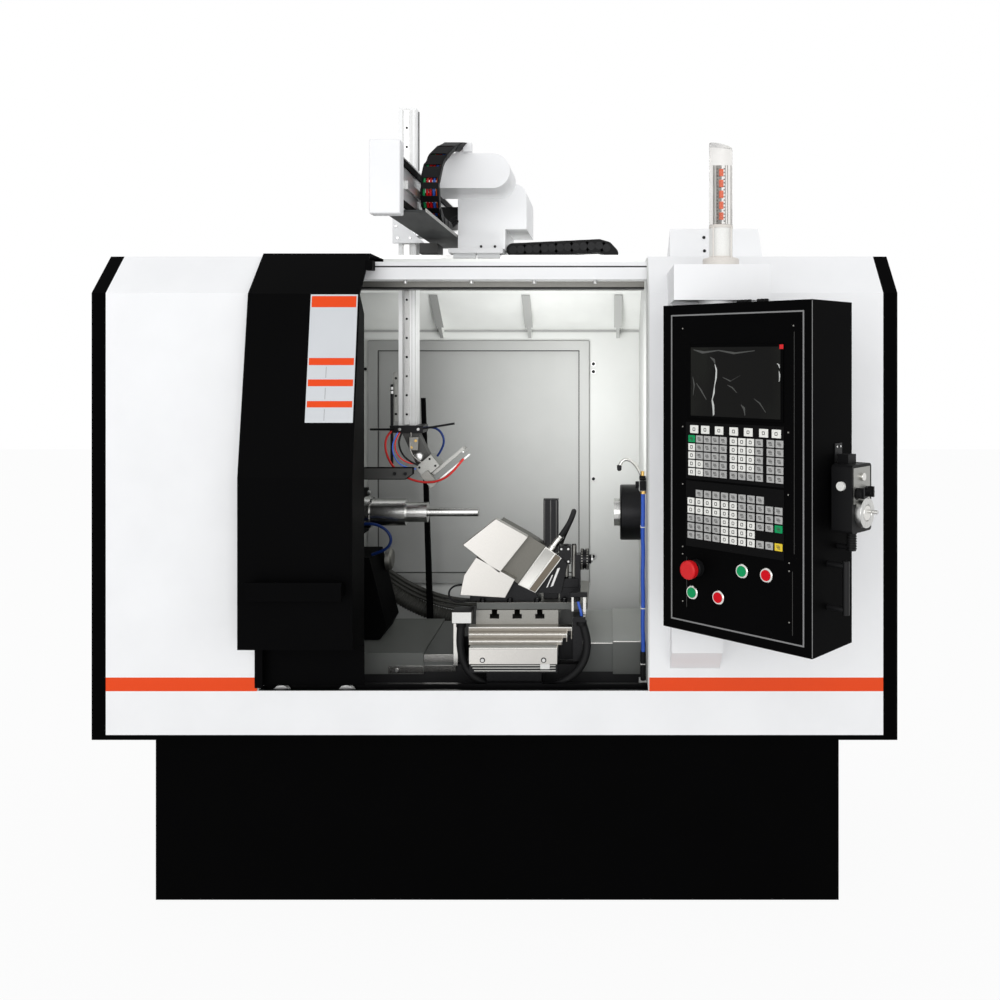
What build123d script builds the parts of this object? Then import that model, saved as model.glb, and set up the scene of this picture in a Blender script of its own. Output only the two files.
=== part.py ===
"""Spinning lathe with a gantry loader on its roof.

Millimetres, +X to the right along the spindle, +Y to the back, +Z up. The origin is the middle of the base's
underside.
"""
import os
from math import cos, pi, radians, sin, tan

from build123d import *

os.makedirs("parts", exist_ok=True)

# Cabinet
cabinet_width = 1934
cabinet_front = -470
cabinet_back = 430
cabinet_bottom = 428
cabinet_top = 1586
slope_rise = 97
slope_run = 94
sheet = 3
end_cover_width = 34
opening_left = -570
opening_right = 372
back_wall_y = 230
fit_gap = 0.3

# Base
base_width = 1680
base_depth = 820
base_wall = 10
deck_thickness = 12
anchor_flange = 70
anchor_hole_radius = 11
anchor_inset = 35
foot_strip = 80

# Sill and roller channel
sill_height = 106
channel_front = -458
channel_back = -420
channel_depth = 40

# Spindle line
spindle_y = -120
spindle_z = 910
nose_radius = 44
nose_length = 22
nose_face = -376
mandrel_radius = 37
mandrel_length = 96
collar_radius = 27.5
collar_length = 58
spigot_radius = 12
spigot_length = 140
shaft_radius = 30
drive_inset = 225
shaft_left = -cabinet_width / 2 + drive_inset - 18
flange_size = 121
running_gap = 0.05

# Belt drive
motor_z = 620
motor_radius = 85
motor_length = 165
motor_pulley_radius = 50
spindle_pulley_radius = 75
pulley_width = 36
pulley_left = -cabinet_width / 2 + drive_inset
motor_shaft_radius = 14
belt_thickness = 6

# Tailstock
press_radius = 75.5
press_length = 60
press_face = 306
quill_radius = 45
quill_length = 300
live_nose_radius = 37.5
live_nose_length = 17
live_stub_radius = 16
live_stub_length = 40
sleeve_radius = 66
sleeve_length = 250
tail_flange_radius = 88
tail_flange_thickness = 6

# Door
door_left = -584
door_width = 266
door_top = 1593
door_fold_z = 1486
door_knee_z = 1056
door_bottom = 658
door_fold_y = -492
door_knee_y = -561
door_roof_y = -384
door_hook_y = -240
skirt_y = -448
skirt_bottom = 540
roller_radius = 22
roller_width = 12
roller_spacing = 158
roller_axle_radius = 3
handle_length = 219
handle_height = 44
handle_gap = 30
handle_bar = 8
handle_z = 800

# Bed and slides
bed_front = -300
bed_back = 20
bed_top = 546
rail_width = 24
rail_height = 20
bed_cover_top = 608
bed_cover_left_top = 578
bed_cover_front = -310
bed_cover_bottom = 524
cover_nest_gap = 2
bed_cover_left_end = -200
bed_cover_right_start = 285
saddle_middle = 40
saddle_width = 316
saddle_top = 618
saddle_cover_left_end = -330
saddle_cover_right_end = 365
cross_rail_spread = 40
cross_rail_width = 20
table_width = 210
table_front = -310
table_back = -30
table_bottom = 650
table_top = 688
slot_spacing = 58
slot_neck = 14
slot_neck_depth = 10
slot_head = 24
slot_head_depth = 12
tool_plate_thickness = 18
step_height = 10
step_reveal = 27
step_width = 4
step_flare = 7
step_plate = 2
front_step_y = -420
front_step_top = 622
front_step_bottom = 583
step_lengths = (80, 72, 65)
front_half = 108

# Tool block
tool_front = -318
tool_plate_depth = 28
tool_block_back = -240
forming_radius = 27
forming_width = 21
forming_x = 212
forming_y = -262
forming_z = 809
forming_pin_radius = 7
groove_width = 3

# Loader
header_front = -376
header_depth = 60
header_bottom = 1529
header_top = 1573
loader_rail_y = (-186, 180)
loader_beam_width = 60
loader_beam_bottom = 1540
loader_beam_top = 1597
loader_rail_height = 12
loader_rail_width = 16
hood_front = 40
hood_low_z = 1427
carriage_left = -150
carriage_right = -6
carriage_plate = 12
carriage_top = 1624
cross_left = -225
cross_width = 40
cross_bottom = 1660
cross_height = 124
cross_front = -680
cross_length = 800
tray_left = -183
tray_right = -130
ram_left = -298
ram_width = 48
ram_front = -145
ram_depth = 50
ram_bottom = 1150
ram_top = 2015
lower_cover_left = -128
lower_cover_right = 55
lower_cover_top = 1798
lower_cover_front = -200
lower_cover_depth = 250
upper_cover_left = -167
upper_cover_right = 27
upper_cover_bottom = 1758
upper_cover_top = 1845
upper_cover_front = -370
jaw_gap = 26

# Pendant
pendant_yaw = 42
pendant_width = 372
pendant_height = 703
pendant_depth = 158
pendant_corner = (394, -671)
pendant_wall = 3
arm_left = 416
arm_width = 212
arm_front = -690
arm_bottom = 1459
arm_height = 78
swivel_gap = 12
pendant_bottom = arm_bottom - swivel_gap - pendant_height
column_width = 119
column_front = -540
column_bottom = 588
swivel_radius = 40
lamp_x = 533
lamp_y = -560
lamp_radius = 27
lamp_foot_radius = 42
lamp_foot_height = 26
lamp_lens_height = 190
lamp_body_height = 76
stop_radius = 20
button_radius = 11
bezel_radius = 14.8

cabinet_left = -cabinet_width / 2
cabinet_right = cabinet_width / 2
roof_front = cabinet_front + slope_run
slope_bottom = cabinet_top - slope_rise
sill_top = cabinet_bottom + sill_height


def block(x, y, z, mode=Mode.ADD):
    """Box that reaches between the pairs x, y and z."""
    with Locations((sum(x) / 2, sum(y) / 2, sum(z) / 2)):
        return Box(x[1] - x[0], y[1] - y[0], z[1] - z[0], mode=mode)


def round_x(x, y, z, radius, mode=Mode.ADD):
    """Cylinder along X between the pair x."""
    with Locations((sum(x) / 2, y, z)):
        return Cylinder(radius, x[1] - x[0], rotation=(0, 90, 0), mode=mode)


def round_y(x, y, z, radius, mode=Mode.ADD):
    """Cylinder along Y between the pair y."""
    with Locations((x, sum(y) / 2, z)):
        return Cylinder(radius, y[1] - y[0], rotation=(90, 0, 0), mode=mode)


def round_z(x, y, z, radius, mode=Mode.ADD):
    """Cylinder along Z between the pair z."""
    with Locations((x, y, sum(z) / 2)):
        return Cylinder(radius, z[1] - z[0], mode=mode)


def side_plate(points, x, mode=Mode.ADD):
    """Outline in Y and Z, carried along X between the pair x."""
    with BuildSketch(Plane.YZ.offset(x[0])) as face:
        with BuildLine():
            Polyline(*points, close=True)
        make_face()
    return extrude(face.sketch, amount=x[1] - x[0], mode=mode)


def front_plate(points, y, mode=Mode.ADD):
    """Outline in X and Z, carried along Y between the pair y."""
    with BuildSketch(Plane.XZ.offset(-y[1])) as face:
        with BuildLine():
            Polyline(*points, close=True)
        make_face()
    return extrude(face.sketch, amount=y[1] - y[0], mode=mode)


def bend_radii(points):
    """Largest tangent arc at each inner point of a hose's route."""
    runs = [Vector(b) - Vector(a) for a, b in zip(points, points[1:])]
    radii = []
    for before, after in zip(runs, runs[1:]):
        half_turn = radians(before.get_angle(after)) / 2
        radii.append(0.45 * min(before.length, after.length) / tan(half_turn))
    return radii


def hose(name, points, diameter):
    """Round hose along a route of straight runs and tangent arcs."""
    radii = bend_radii(points)
    with BuildLine(mode=Mode.PRIVATE) as route:
        FilletPolyline(*points, radius=radii)
    start = Plane(origin=points[0], z_dir=Vector(points[1]) - Vector(points[0]))
    with BuildSketch(start, mode=Mode.PRIVATE) as section:
        Circle(diameter / 2)
    tube = sweep(section.sketch, path=route.wires()[0])
    length = sum(edge.length for edge in route.edges())
    section_area = pi * diameter**2 / 4
    print(name, "radii", [round(r) for r in radii], "length", round(length))
    print(name, "volume ratio", round(tube.volume / (length * section_area), 3))


def save(name, piece):
    """Label a finished piece and write it."""
    piece.part.label = name
    export_step(piece.part, f"parts/{name}.step")


# Base frame, open underneath, with an anchor flange round its foot and the enclosure's floor on top
deck_z = cabinet_bottom - deck_thickness
with BuildPart() as base_frame:
    half_w, half_d = base_width / 2, base_depth / 2
    block((-half_w, half_w), (-half_d, half_d), (0, deck_z))
    inner_w, inner_d = half_w - base_wall, half_d - base_wall
    block((-inner_w, inner_w), (-inner_d, inner_d), (base_wall, deck_z), Mode.SUBTRACT)
    foot_w, foot_d = half_w - anchor_flange, half_d - anchor_flange
    block((-foot_w, foot_w), (-foot_d, foot_d), (0, base_wall), Mode.SUBTRACT)
    block((-foot_strip / 2, foot_strip / 2), (-foot_d, foot_d), (0, base_wall))
    with GridLocations(base_width - 2 * anchor_inset, base_depth - 2 * anchor_inset, 2, 2):
        Cylinder(anchor_hole_radius, 3 * base_wall, mode=Mode.SUBTRACT)
    block((cabinet_left, cabinet_right), (cabinet_front, cabinet_back), (deck_z, cabinet_bottom))
save("base_frame", base_frame)

# Black end covers, trays that follow the cabinet's outline
outline = [
    (cabinet_front, cabinet_bottom),
    (cabinet_front, slope_bottom),
    (roof_front, cabinet_top),
    (cabinet_back, cabinet_top),
    (cabinet_back, cabinet_bottom),
]
with BuildPart() as end_covers:
    for x, depth in ((cabinet_left, end_cover_width), (cabinet_right, -end_cover_width)):
        wall = sheet if depth > 0 else -sheet
        side_plate(outline, (x, x + depth))
        with BuildSketch(Plane.YZ.offset(x + wall)):
            with BuildLine():
                Polyline(*outline, close=True)
            make_face()
            offset(amount=-sheet, kind=Kind.INTERSECTION, mode=Mode.REPLACE)
        extrude(amount=depth, mode=Mode.SUBTRACT)
save("end_covers", end_covers)

# White cabinet skins, each one bent sheet of front, slope and roof
skin = [
    (cabinet_front, cabinet_bottom),
    (cabinet_front, slope_bottom),
    (roof_front, cabinet_top),
    (cabinet_back - sheet, cabinet_top),
    (cabinet_back - sheet, cabinet_top - sheet),
    (roof_front + sheet / 2, cabinet_top - sheet),
    (cabinet_front + sheet, slope_bottom - sheet / 2),
    (cabinet_front + sheet, cabinet_bottom),
]
skin_left = (cabinet_left + end_cover_width, opening_left)
skin_right = (opening_right, cabinet_right - end_cover_width)
with BuildPart() as cabinet_skins:
    side_plate(skin, skin_left)
    side_plate(skin, skin_right)
save("cabinet_skins", cabinet_skins)

# Front sill with the channel that the door's rollers run in
channel_floor = sill_top - channel_depth
sill_back = channel_back + 4 * sheet
with BuildPart() as front_sill:
    side_plate(
        [
            (cabinet_front, cabinet_bottom),
            (cabinet_front, sill_top),
            (channel_front, sill_top),
            (channel_front, channel_floor),
            (channel_back, channel_floor),
            (channel_back, sill_top),
            (sill_back, sill_top),
            (sill_back, cabinet_bottom),
            (sill_back - sheet, cabinet_bottom),
            (sill_back - sheet, sill_top - sheet),
            (channel_back + sheet, sill_top - sheet),
            (channel_back + sheet, channel_floor - sheet),
            (channel_front - sheet, channel_floor - sheet),
            (channel_front - sheet, sill_top - sheet),
            (cabinet_front + sheet, sill_top - sheet),
            (cabinet_front + sheet, cabinet_bottom),
        ],
        (opening_left, opening_right),
    )
save("front_sill", front_sill)

# Chamber side walls, back wall and the cabinet's rear panel
wall_left = (opening_left, opening_left + sheet)
wall_right = (opening_right - sheet, opening_right)
chamber_x = (opening_left + sheet, opening_right - sheet)
wall_top = cabinet_top - sheet
slope_line = [(cabinet_front + sheet, slope_bottom - sheet / 2), (roof_front + sheet / 2, wall_top)]
side_wall = [
    (sill_back, cabinet_bottom),
    (sill_back, sill_top),
    (cabinet_front + sheet, sill_top),
    *slope_line,
    (cabinet_back - sheet, wall_top),
    (cabinet_back - sheet, cabinet_bottom),
]
tunnel_y = (bed_cover_front + sheet, bed_back + 10 - sheet)
tunnel_z = (cabinet_bottom, bed_cover_top - sheet)
shaft_clearance = 10
gland_depth = 18
gland_y = (-354, -322)
gland_z = ((998, 1024), (498, 520))
with BuildPart() as chamber_walls:
    side_plate(side_wall, wall_left)
    through_left = (opening_left - sheet, chamber_x[0] + sheet)
    round_x(through_left, spindle_y, spindle_z, shaft_radius + shaft_clearance, Mode.SUBTRACT)
    side_plate(side_wall, wall_right)
    through_right = (chamber_x[1] - sheet, opening_right + sheet)
    round_x(through_right, spindle_y, spindle_z, sleeve_radius + fit_gap, Mode.SUBTRACT)
    block(through_right, tunnel_y, tunnel_z, Mode.SUBTRACT)
    block(chamber_x, (back_wall_y, back_wall_y + sheet), (cabinet_bottom, wall_top))
    block(chamber_x, (back_wall_y, cabinet_back - sheet), (wall_top - sheet, wall_top))
    for z in gland_z:
        block((chamber_x[1] - gland_depth, chamber_x[1]), gland_y, z)
    rear_half = cabinet_width / 2 - end_cover_width
    block((-rear_half, rear_half), (cabinet_back - sheet, cabinet_back), (cabinet_bottom, cabinet_top))
save("chamber_walls", chamber_walls)

# Inspection cover screwed to the back wall: a raised rim round a flat plate
cover_x, cover_z = (-468, 214), (640, 1387)
rim_width, rim_depth, cover_plate = 29, 14, 4
with BuildPart() as inspection_cover:
    block(cover_x, (back_wall_y - rim_depth, back_wall_y), cover_z)
    inner_x = (cover_x[0] + rim_width, cover_x[1] - rim_width)
    inner_z = (cover_z[0] + rim_width, cover_z[1] - rim_width)
    block(inner_x, (back_wall_y - rim_depth, back_wall_y - cover_plate), inner_z, Mode.SUBTRACT)
save("inspection_cover", inspection_cover)

# Door beam across the top of the opening
header_back = header_front + header_depth
with BuildPart() as door_beam:
    block(chamber_x, (header_front, header_back), (header_bottom, header_top))
    groove = 4
    groove_z = header_bottom + 30
    block(chamber_x, (header_front, header_front + groove), (groove_z, groove_z + groove), Mode.SUBTRACT)
save("door_beam", door_beam)

# Loader beams and the sloped hood with its gussets under the rear one
half_beam = loader_beam_width / 2
hood_top_z = loader_beam_bottom - 10
gusset_x, gusset_width = (-237, 33, 303), 6
gusset_drop = 30
with BuildPart() as loader_beams:
    for y in loader_rail_y:
        block(chamber_x, (y - half_beam, y + half_beam), (loader_beam_bottom, loader_beam_top))
    side_plate(
        [
            (hood_front, hood_top_z),
            (hood_front, hood_top_z - 2 * sheet),
            (back_wall_y, hood_low_z - 2 * sheet),
            (back_wall_y, hood_low_z),
        ],
        chamber_x,
    )
    for x in gusset_x:
        side_plate(
            [
                (hood_front + gusset_drop, hood_top_z - gusset_drop),
                (back_wall_y, hood_low_z - sheet),
                (back_wall_y, hood_low_z - gusset_drop),
                (back_wall_y - gusset_drop, hood_low_z - gusset_drop),
            ],
            (x - gusset_width / 2, x + gusset_width / 2),
        )
save("loader_beams", loader_beams)

# Guide rails of the loader and of the bed
bed_rail_y = (bed_front + 50, bed_back - 50)
bed_x = (chamber_x[0], chamber_x[1])
rail_top = bed_top + rail_height
with BuildPart() as guide_rails:
    for y in loader_rail_y:
        half = loader_rail_width / 2
        block(chamber_x, (y - half, y + half), (loader_beam_top, loader_beam_top + loader_rail_height))
    for y in bed_rail_y:
        half = rail_width / 2
        block(bed_x, (y - half, y + half), (bed_top, rail_top))
save("guide_rails", guide_rails)

with BuildPart() as bed:
    block(bed_x, (bed_front, bed_back), (cabinet_bottom, bed_top))
    bed_pocket = 40
    pocket_y = (bed_rail_y[0] + bed_pocket, bed_rail_y[1] - bed_pocket)
    block(bed_x, pocket_y, (bed_top - bed_pocket, bed_top), Mode.SUBTRACT)
save("bed", bed)


def way_cover(x, y, top, bottom):
    """Folded cover over the bed's ways, open underneath, between the pairs x and y."""
    block(x, y, (bottom, top))
    block(x, (y[0] + sheet, y[1] - sheet), (bottom, top - sheet), Mode.SUBTRACT)


bed_cover_y = (bed_cover_front, bed_back + 10)
with BuildPart() as bed_covers:
    way_cover((chamber_x[0], bed_cover_left_end), bed_cover_y, bed_cover_left_top, bed_cover_bottom)
    way_cover((bed_cover_right_start, chamber_x[1]), bed_cover_y, bed_cover_top, bed_cover_bottom)
save("bed_covers", bed_covers)

# Headstock with its square flange, the black cowl under it, the feeder arm and the slim rear post
flange_back = nose_face - nose_length - 1
flange_thickness = 24
head_y = (spindle_y - 90, spindle_y + 90)
head_z = (spindle_z - 110, spindle_z + 110)
flange_half = flange_size / 2
cowl_bottom = bed_cover_left_top + 4
cowl_right = -319
feeder_end, feeder_y, feeder_z = -242, (-230, -214), (1012, 1044)
rear_post_y, rear_post_top = (72, 88), 1216
with BuildPart() as headstock:
    block((chamber_x[0], flange_back - flange_thickness), head_y, head_z)
    block(
        (flange_back - flange_thickness, flange_back),
        (spindle_y - flange_half, spindle_y + flange_half),
        (spindle_z - flange_half, spindle_z + flange_half),
    )
    head_bore = (chamber_x[0] - 1, flange_back + 1)
    round_x(head_bore, spindle_y, spindle_z, shaft_radius + running_gap, Mode.SUBTRACT)
    front_plate(
        [
            (chamber_x[0], head_z[0]),
            (cowl_right - 46, head_z[0]),
            (cowl_right, cowl_bottom + 32),
            (cowl_right - 17, cowl_bottom),
            (chamber_x[0], cowl_bottom),
        ],
        (spindle_y - 80, spindle_y + 80),
    )
    front_plate(
        [
            (chamber_x[0], feeder_z[0]),
            (feeder_end - 20, feeder_z[0]),
            (feeder_end, feeder_z[0] + 14),
            (feeder_end, feeder_z[1]),
            (chamber_x[0], feeder_z[1]),
        ],
        feeder_y,
    )
    front_plate(
        [(-256, cabinet_bottom), (-238, cabinet_bottom), (-266, rear_post_top), (-278, rear_post_top)],
        rear_post_y,
    )
save("headstock", headstock)

# Spindle with its nose flange, and the stepped mandrel on it
with BuildPart() as spindle:
    round_x((shaft_left, nose_face - nose_length), spindle_y, spindle_z, shaft_radius)
    round_x((nose_face - nose_length, nose_face), spindle_y, spindle_z, nose_radius)
save("spindle", spindle)

collar_start = nose_face + mandrel_length
spigot_start = collar_start + collar_length
spigot_end = spigot_start + spigot_length
with BuildPart() as mandrel:
    round_x((nose_face, collar_start), spindle_y, spindle_z, mandrel_radius)
    round_x((collar_start, spigot_start), spindle_y, spindle_z, collar_radius)
    round_x((spigot_start, spigot_end), spindle_y, spindle_z, spigot_radius)
    chamfer(mandrel.faces().sort_by(Axis.X)[-1].edges(), 2)
save("mandrel", mandrel)

# Belt drive in the left cabinet
pulley_x = (pulley_left, pulley_left + pulley_width)
with BuildPart() as spindle_pulley:
    round_x(pulley_x, spindle_y, spindle_z, spindle_pulley_radius)
    round_x(pulley_x, spindle_y, spindle_z, shaft_radius, Mode.SUBTRACT)
save("spindle_pulley", spindle_pulley)

motor_face = pulley_left - 18
with BuildPart() as motor_pulley:
    round_x(pulley_x, spindle_y, motor_z, motor_pulley_radius)
    round_x((motor_face + fit_gap, pulley_left), spindle_y, motor_z, motor_shaft_radius)
save("motor_pulley", motor_pulley)

with BuildPart() as spindle_motor:
    motor_x = (motor_face - motor_length, motor_face)
    round_x(motor_x, spindle_y, motor_z, motor_radius)
    foot_half = motor_radius - 15
    foot_x = (motor_x[0] + 10, motor_x[1] - 10)
    foot_y = (spindle_y - foot_half, spindle_y + foot_half)
    block(foot_x, foot_y, (cabinet_bottom, motor_z - 60))
save("spindle_motor", spindle_motor)


def belt_outline(grow):
    """Hull of the two pulleys, grown outwards."""
    with BuildSketch(Plane.YZ.offset(pulley_left + 6)) as loop:
        with Locations((spindle_y, spindle_z)):
            Circle(spindle_pulley_radius + grow)
        with Locations((spindle_y, motor_z)):
            Circle(motor_pulley_radius + grow)
        make_hull(loop.edges())
    return loop.sketch


with BuildPart() as drive_belt:
    extrude(belt_outline(fit_gap + belt_thickness), amount=pulley_width - 12)
    extrude(belt_outline(fit_gap), amount=pulley_width - 12, mode=Mode.SUBTRACT)
save("drive_belt", drive_belt)

# Tailstock: sleeve on the right wall, press head on its quill, live nose
sleeve_start = chamber_x[1] - tail_flange_thickness
sleeve_end = chamber_x[1] + sleeve_length
with BuildPart() as tail_sleeve:
    round_x((sleeve_start, chamber_x[1]), spindle_y, spindle_z, tail_flange_radius)
    round_x((chamber_x[1], sleeve_end), spindle_y, spindle_z, sleeve_radius)
    leg_y = (spindle_y - 40, spindle_y + 40)
    block((sleeve_end - 150, sleeve_end - 30), leg_y, (cabinet_bottom, spindle_z))
    sleeve_bore = (sleeve_start - 1, sleeve_end + 1)
    round_x(sleeve_bore, spindle_y, spindle_z, quill_radius + running_gap, Mode.SUBTRACT)
save("tail_sleeve", tail_sleeve)

with BuildPart() as tail_quill:
    press_back = sleeve_start - fit_gap
    round_x((press_face, press_back), spindle_y, spindle_z, press_radius)
    round_x((press_back, press_back + quill_length), spindle_y, spindle_z, quill_radius)
    stub_end = press_face + live_stub_length
    round_x((press_face, stub_end + 1), spindle_y, spindle_z, live_stub_radius + running_gap, Mode.SUBTRACT)
    chamfer(tail_quill.faces().sort_by(Axis.X)[0].edges().sort_by(SortBy.RADIUS)[-1], 3)
save("tail_quill", tail_quill)

with BuildPart() as live_nose:
    round_x((press_face - live_nose_length, press_face - fit_gap), spindle_y, spindle_z, live_nose_radius)
    round_x((press_face - fit_gap, stub_end), spindle_y, spindle_z, live_stub_radius)
save("live_nose", live_nose)

# Sliding guard door, one bent sheet with side returns, a hook over its beam and roller lugs
door_right = door_left + door_width
inner_left = opening_left + sheet + 1
door_sheet = [
    (door_hook_y, door_top - 25),
    (door_hook_y, door_top),
    (door_roof_y, door_top),
    (door_fold_y, door_fold_z),
    (door_knee_y, door_knee_z),
    (door_knee_y, door_bottom),
    (skirt_y, door_bottom - 18),
    (skirt_y, skirt_bottom),
    (skirt_y + sheet, skirt_bottom),
    (skirt_y + sheet, door_bottom - 15),
    (door_knee_y + sheet, door_bottom + sheet),
    (door_knee_y + sheet, door_knee_z),
    (door_fold_y + sheet, door_fold_z - 1.5),
    (door_roof_y + 1.5, door_top - sheet),
    (door_hook_y - sheet, door_top - sheet),
    (door_hook_y - sheet, door_top - 25),
]
outer_return = cabinet_front - 8
front_band = [
    (door_roof_y, door_top),
    (door_fold_y, door_fold_z),
    (door_knee_y, door_knee_z),
    (door_knee_y, door_bottom),
    (outer_return, door_bottom - 13),
    (outer_return, door_bottom - 10),
    (door_knee_y + sheet, door_bottom + sheet),
    (door_knee_y + sheet, door_knee_z),
    (door_fold_y + sheet, door_fold_z - 1.5),
    (door_roof_y + 1.5, door_top - sheet),
]
roller_middle = (inner_left + door_right) / 2
roller_x = (roller_middle - roller_spacing / 2, roller_middle + roller_spacing / 2)
roller_z = channel_floor + fit_gap + roller_radius
lug_width, lug_plate = 20, 4
lug_y = (skirt_y + sheet + roller_width + 6, skirt_y + sheet + roller_width + 9)
with BuildPart() as door_panel:
    side_plate(door_sheet, (inner_left, door_right))
    side_plate(front_band, (door_left, inner_left))
    face_line = [(door_fold_y, door_fold_z), (door_knee_y, door_knee_z), (door_knee_y, door_bottom)]
    right_return = [*face_line, (skirt_y, door_bottom - 18), (skirt_y, door_fold_z - 46)]
    side_plate(right_return, (door_right - sheet, door_right))
    left_return = [*face_line, (outer_return, door_bottom - 12), (outer_return, door_fold_z - 20)]
    side_plate(left_return, (door_left, door_left + sheet))
    for x in roller_x:
        lug_x = (x - lug_width / 2, x + lug_width / 2)
        block(lug_x, (skirt_y + sheet, lug_y[1]), (skirt_bottom, skirt_bottom + lug_plate))
        block(lug_x, lug_y, (roller_z - 8, skirt_bottom + lug_plate))
        round_y(x, (skirt_y + sheet + 1, lug_y[0]), roller_z, roller_axle_radius)
save("door_panel", door_panel)

handle_middle = door_left + 140
with BuildPart() as door_handle:
    handle_x = (handle_middle - handle_length / 2, handle_middle + handle_length / 2)
    handle_zz = (handle_z - handle_height / 2, handle_z + handle_height / 2)
    grip_back = door_knee_y - handle_gap
    block(handle_x, (grip_back - handle_bar, grip_back), handle_zz)
    fillet(door_handle.edges().filter_by(Axis.X), 3)
    for x in handle_x:
        inward = 12 if x == handle_x[0] else -12
        block(sorted((x, x + inward)), (grip_back, door_knee_y), (handle_z - 12, handle_z + 12))
save("door_handle", door_handle)

for side, x in zip(("left", "right"), roller_x):
    with BuildPart() as door_roller:
        roller_y = (skirt_y + sheet + 2, skirt_y + sheet + 2 + roller_width)
        round_y(x, roller_y, roller_z, roller_radius)
        round_y(x, roller_y, roller_z, roller_axle_radius + running_gap, Mode.SUBTRACT)
    save(f"door_roller_{side}", door_roller)

# Saddle on the bed rails, with rails for the cross slide, hose brackets and a front tongue
saddle_x = (saddle_middle - saddle_width / 2, saddle_middle + saddle_width / 2)
saddle_bottom = rail_top + 0.5
runner = 12
cross_rail_x = (saddle_middle - cross_rail_spread, saddle_middle + cross_rail_spread)
cross_rail_front = bed_front + 30
cross_rail_top = saddle_top + 20
tongue_z = (front_step_bottom - 23, front_step_bottom)
tongue_x = (saddle_middle - front_half, saddle_middle + front_half)
bracket_y = (bed_front - 42, bed_front - 12)
bracket_width = 24
bracket_left = (saddle_x[0], saddle_x[0] + bracket_width)
bracket_right = (saddle_x[1] - 14, saddle_x[1] + 10)
arm_y = (bracket_y[0] - 24, bracket_y[1])
arm_left_z, arm_right_z = (668, 697), (672, 684)
hose_block_x = (saddle_middle - 68, saddle_middle + 68)
hose_block_y, hose_block_z = (-396, -356), (496, tongue_z[0])
with BuildPart() as saddle:
    block(saddle_x, (bed_front, bed_back), (saddle_bottom, saddle_top))
    for y in bed_rail_y:
        for side in (-1, 1):
            inner = y + side * (rail_width / 2 + 0.5)
            block(saddle_x, sorted((inner, inner + side * runner)), (bed_top + 4, saddle_bottom))
    for x in cross_rail_x:
        half = cross_rail_width / 2
        block((x - half, x + half), (cross_rail_front, bed_back), (saddle_top, cross_rail_top))
    block(tongue_x, (front_step_y + sheet + 2, bed_front), tongue_z)
    block(hose_block_x, hose_block_y, hose_block_z)
    block(bracket_left, bracket_y, (saddle_bottom, arm_left_z[0]))
    block(bracket_left, (bracket_y[1], bed_front), (saddle_bottom, saddle_top))
    block((bracket_left[0], bracket_left[0] + 2 * bracket_width), arm_y, arm_left_z)
    block(bracket_right, bracket_y, (saddle_bottom, arm_right_z[0]))
    block((bracket_right[0], saddle_x[1]), (bracket_y[1], bed_front), (saddle_bottom, saddle_top))
    block((bracket_right[0], bracket_right[1] + 8), arm_y, arm_right_z)
save("saddle", saddle)


def step_cover(number, bottom, front, back, lip):
    """Leaf of the telescopic cover, counted from the front, open underneath, with a lip down to lip."""
    top = front_step_top + number * step_height
    half_width = front_half + number * step_width
    x = (saddle_middle - half_width, saddle_middle + half_width + number * step_flare)
    block(x, (front, back), (bottom, top))
    inner = (x[0] + step_plate, x[1] - step_plate)
    block(inner, (front, back), (bottom, top - step_plate), Mode.SUBTRACT)
    block(inner, (front, front + step_plate), (lip, top - step_plate))


# Covers that ride on the saddle: two over the bed's ways and the front leaf of the telescopic cover
nest = sheet + cover_nest_gap
with BuildPart() as saddle_covers:
    nest_y = (bed_cover_y[0] + nest, bed_cover_y[1] - nest)
    nest_top = bed_cover_top - nest
    nest_left_top = bed_cover_left_top - nest
    way_cover((saddle_cover_left_end, saddle_x[0]), nest_y, nest_left_top, bed_cover_bottom + nest)
    way_cover((saddle_x[1], saddle_cover_right_end), nest_y, nest_top, bed_cover_bottom + nest)
    leaf_back = front_step_y + step_lengths[0]
    step_cover(0, front_step_bottom, front_step_y, leaf_back, front_step_bottom)
save("saddle_covers", saddle_covers)

leaf_side = front_step_top + fit_gap
for number, name in ((1, "step_cover_low"), (2, "step_cover_high")):
    with BuildPart() as leaf:
        front = front_step_y + number * step_reveal
        lip = front_step_top + (number - 1) * step_height + fit_gap
        step_cover(number, leaf_side, front, front + step_lengths[number], lip)
    save(name, leaf)

with BuildPart() as step_cover_rear:
    front = front_step_y + 3 * step_reveal
    lip = front_step_top + 2 * step_height + fit_gap
    step_cover(3, leaf_side, front, table_front, lip)
save("step_cover_rear", step_cover_rear)

# T-slot table with its sliding pads and the flat tool plate
table_x = (saddle_middle - table_width / 2, saddle_middle + table_width / 2)
table_y = (table_front, table_back)
with BuildPart() as slot_table:
    block(table_x, table_y, (table_bottom, table_top))
    for number in (-1, 0, 1):
        x = saddle_middle + number * slot_spacing
        neck_z = table_top - slot_neck_depth
        block((x - slot_neck / 2, x + slot_neck / 2), table_y, (neck_z, table_top), Mode.SUBTRACT)
        head_bottom = neck_z - slot_head_depth
        block((x - slot_head / 2, x + slot_head / 2), table_y, (head_bottom, neck_z), Mode.SUBTRACT)
    for x in cross_rail_x:
        for y in ((cross_rail_front + 5, cross_rail_front + 75), (table_back - 75, table_back - 5)):
            block((x - 18, x + 18), y, (cross_rail_top + fit_gap, table_bottom))
save("slot_table", slot_table)

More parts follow.
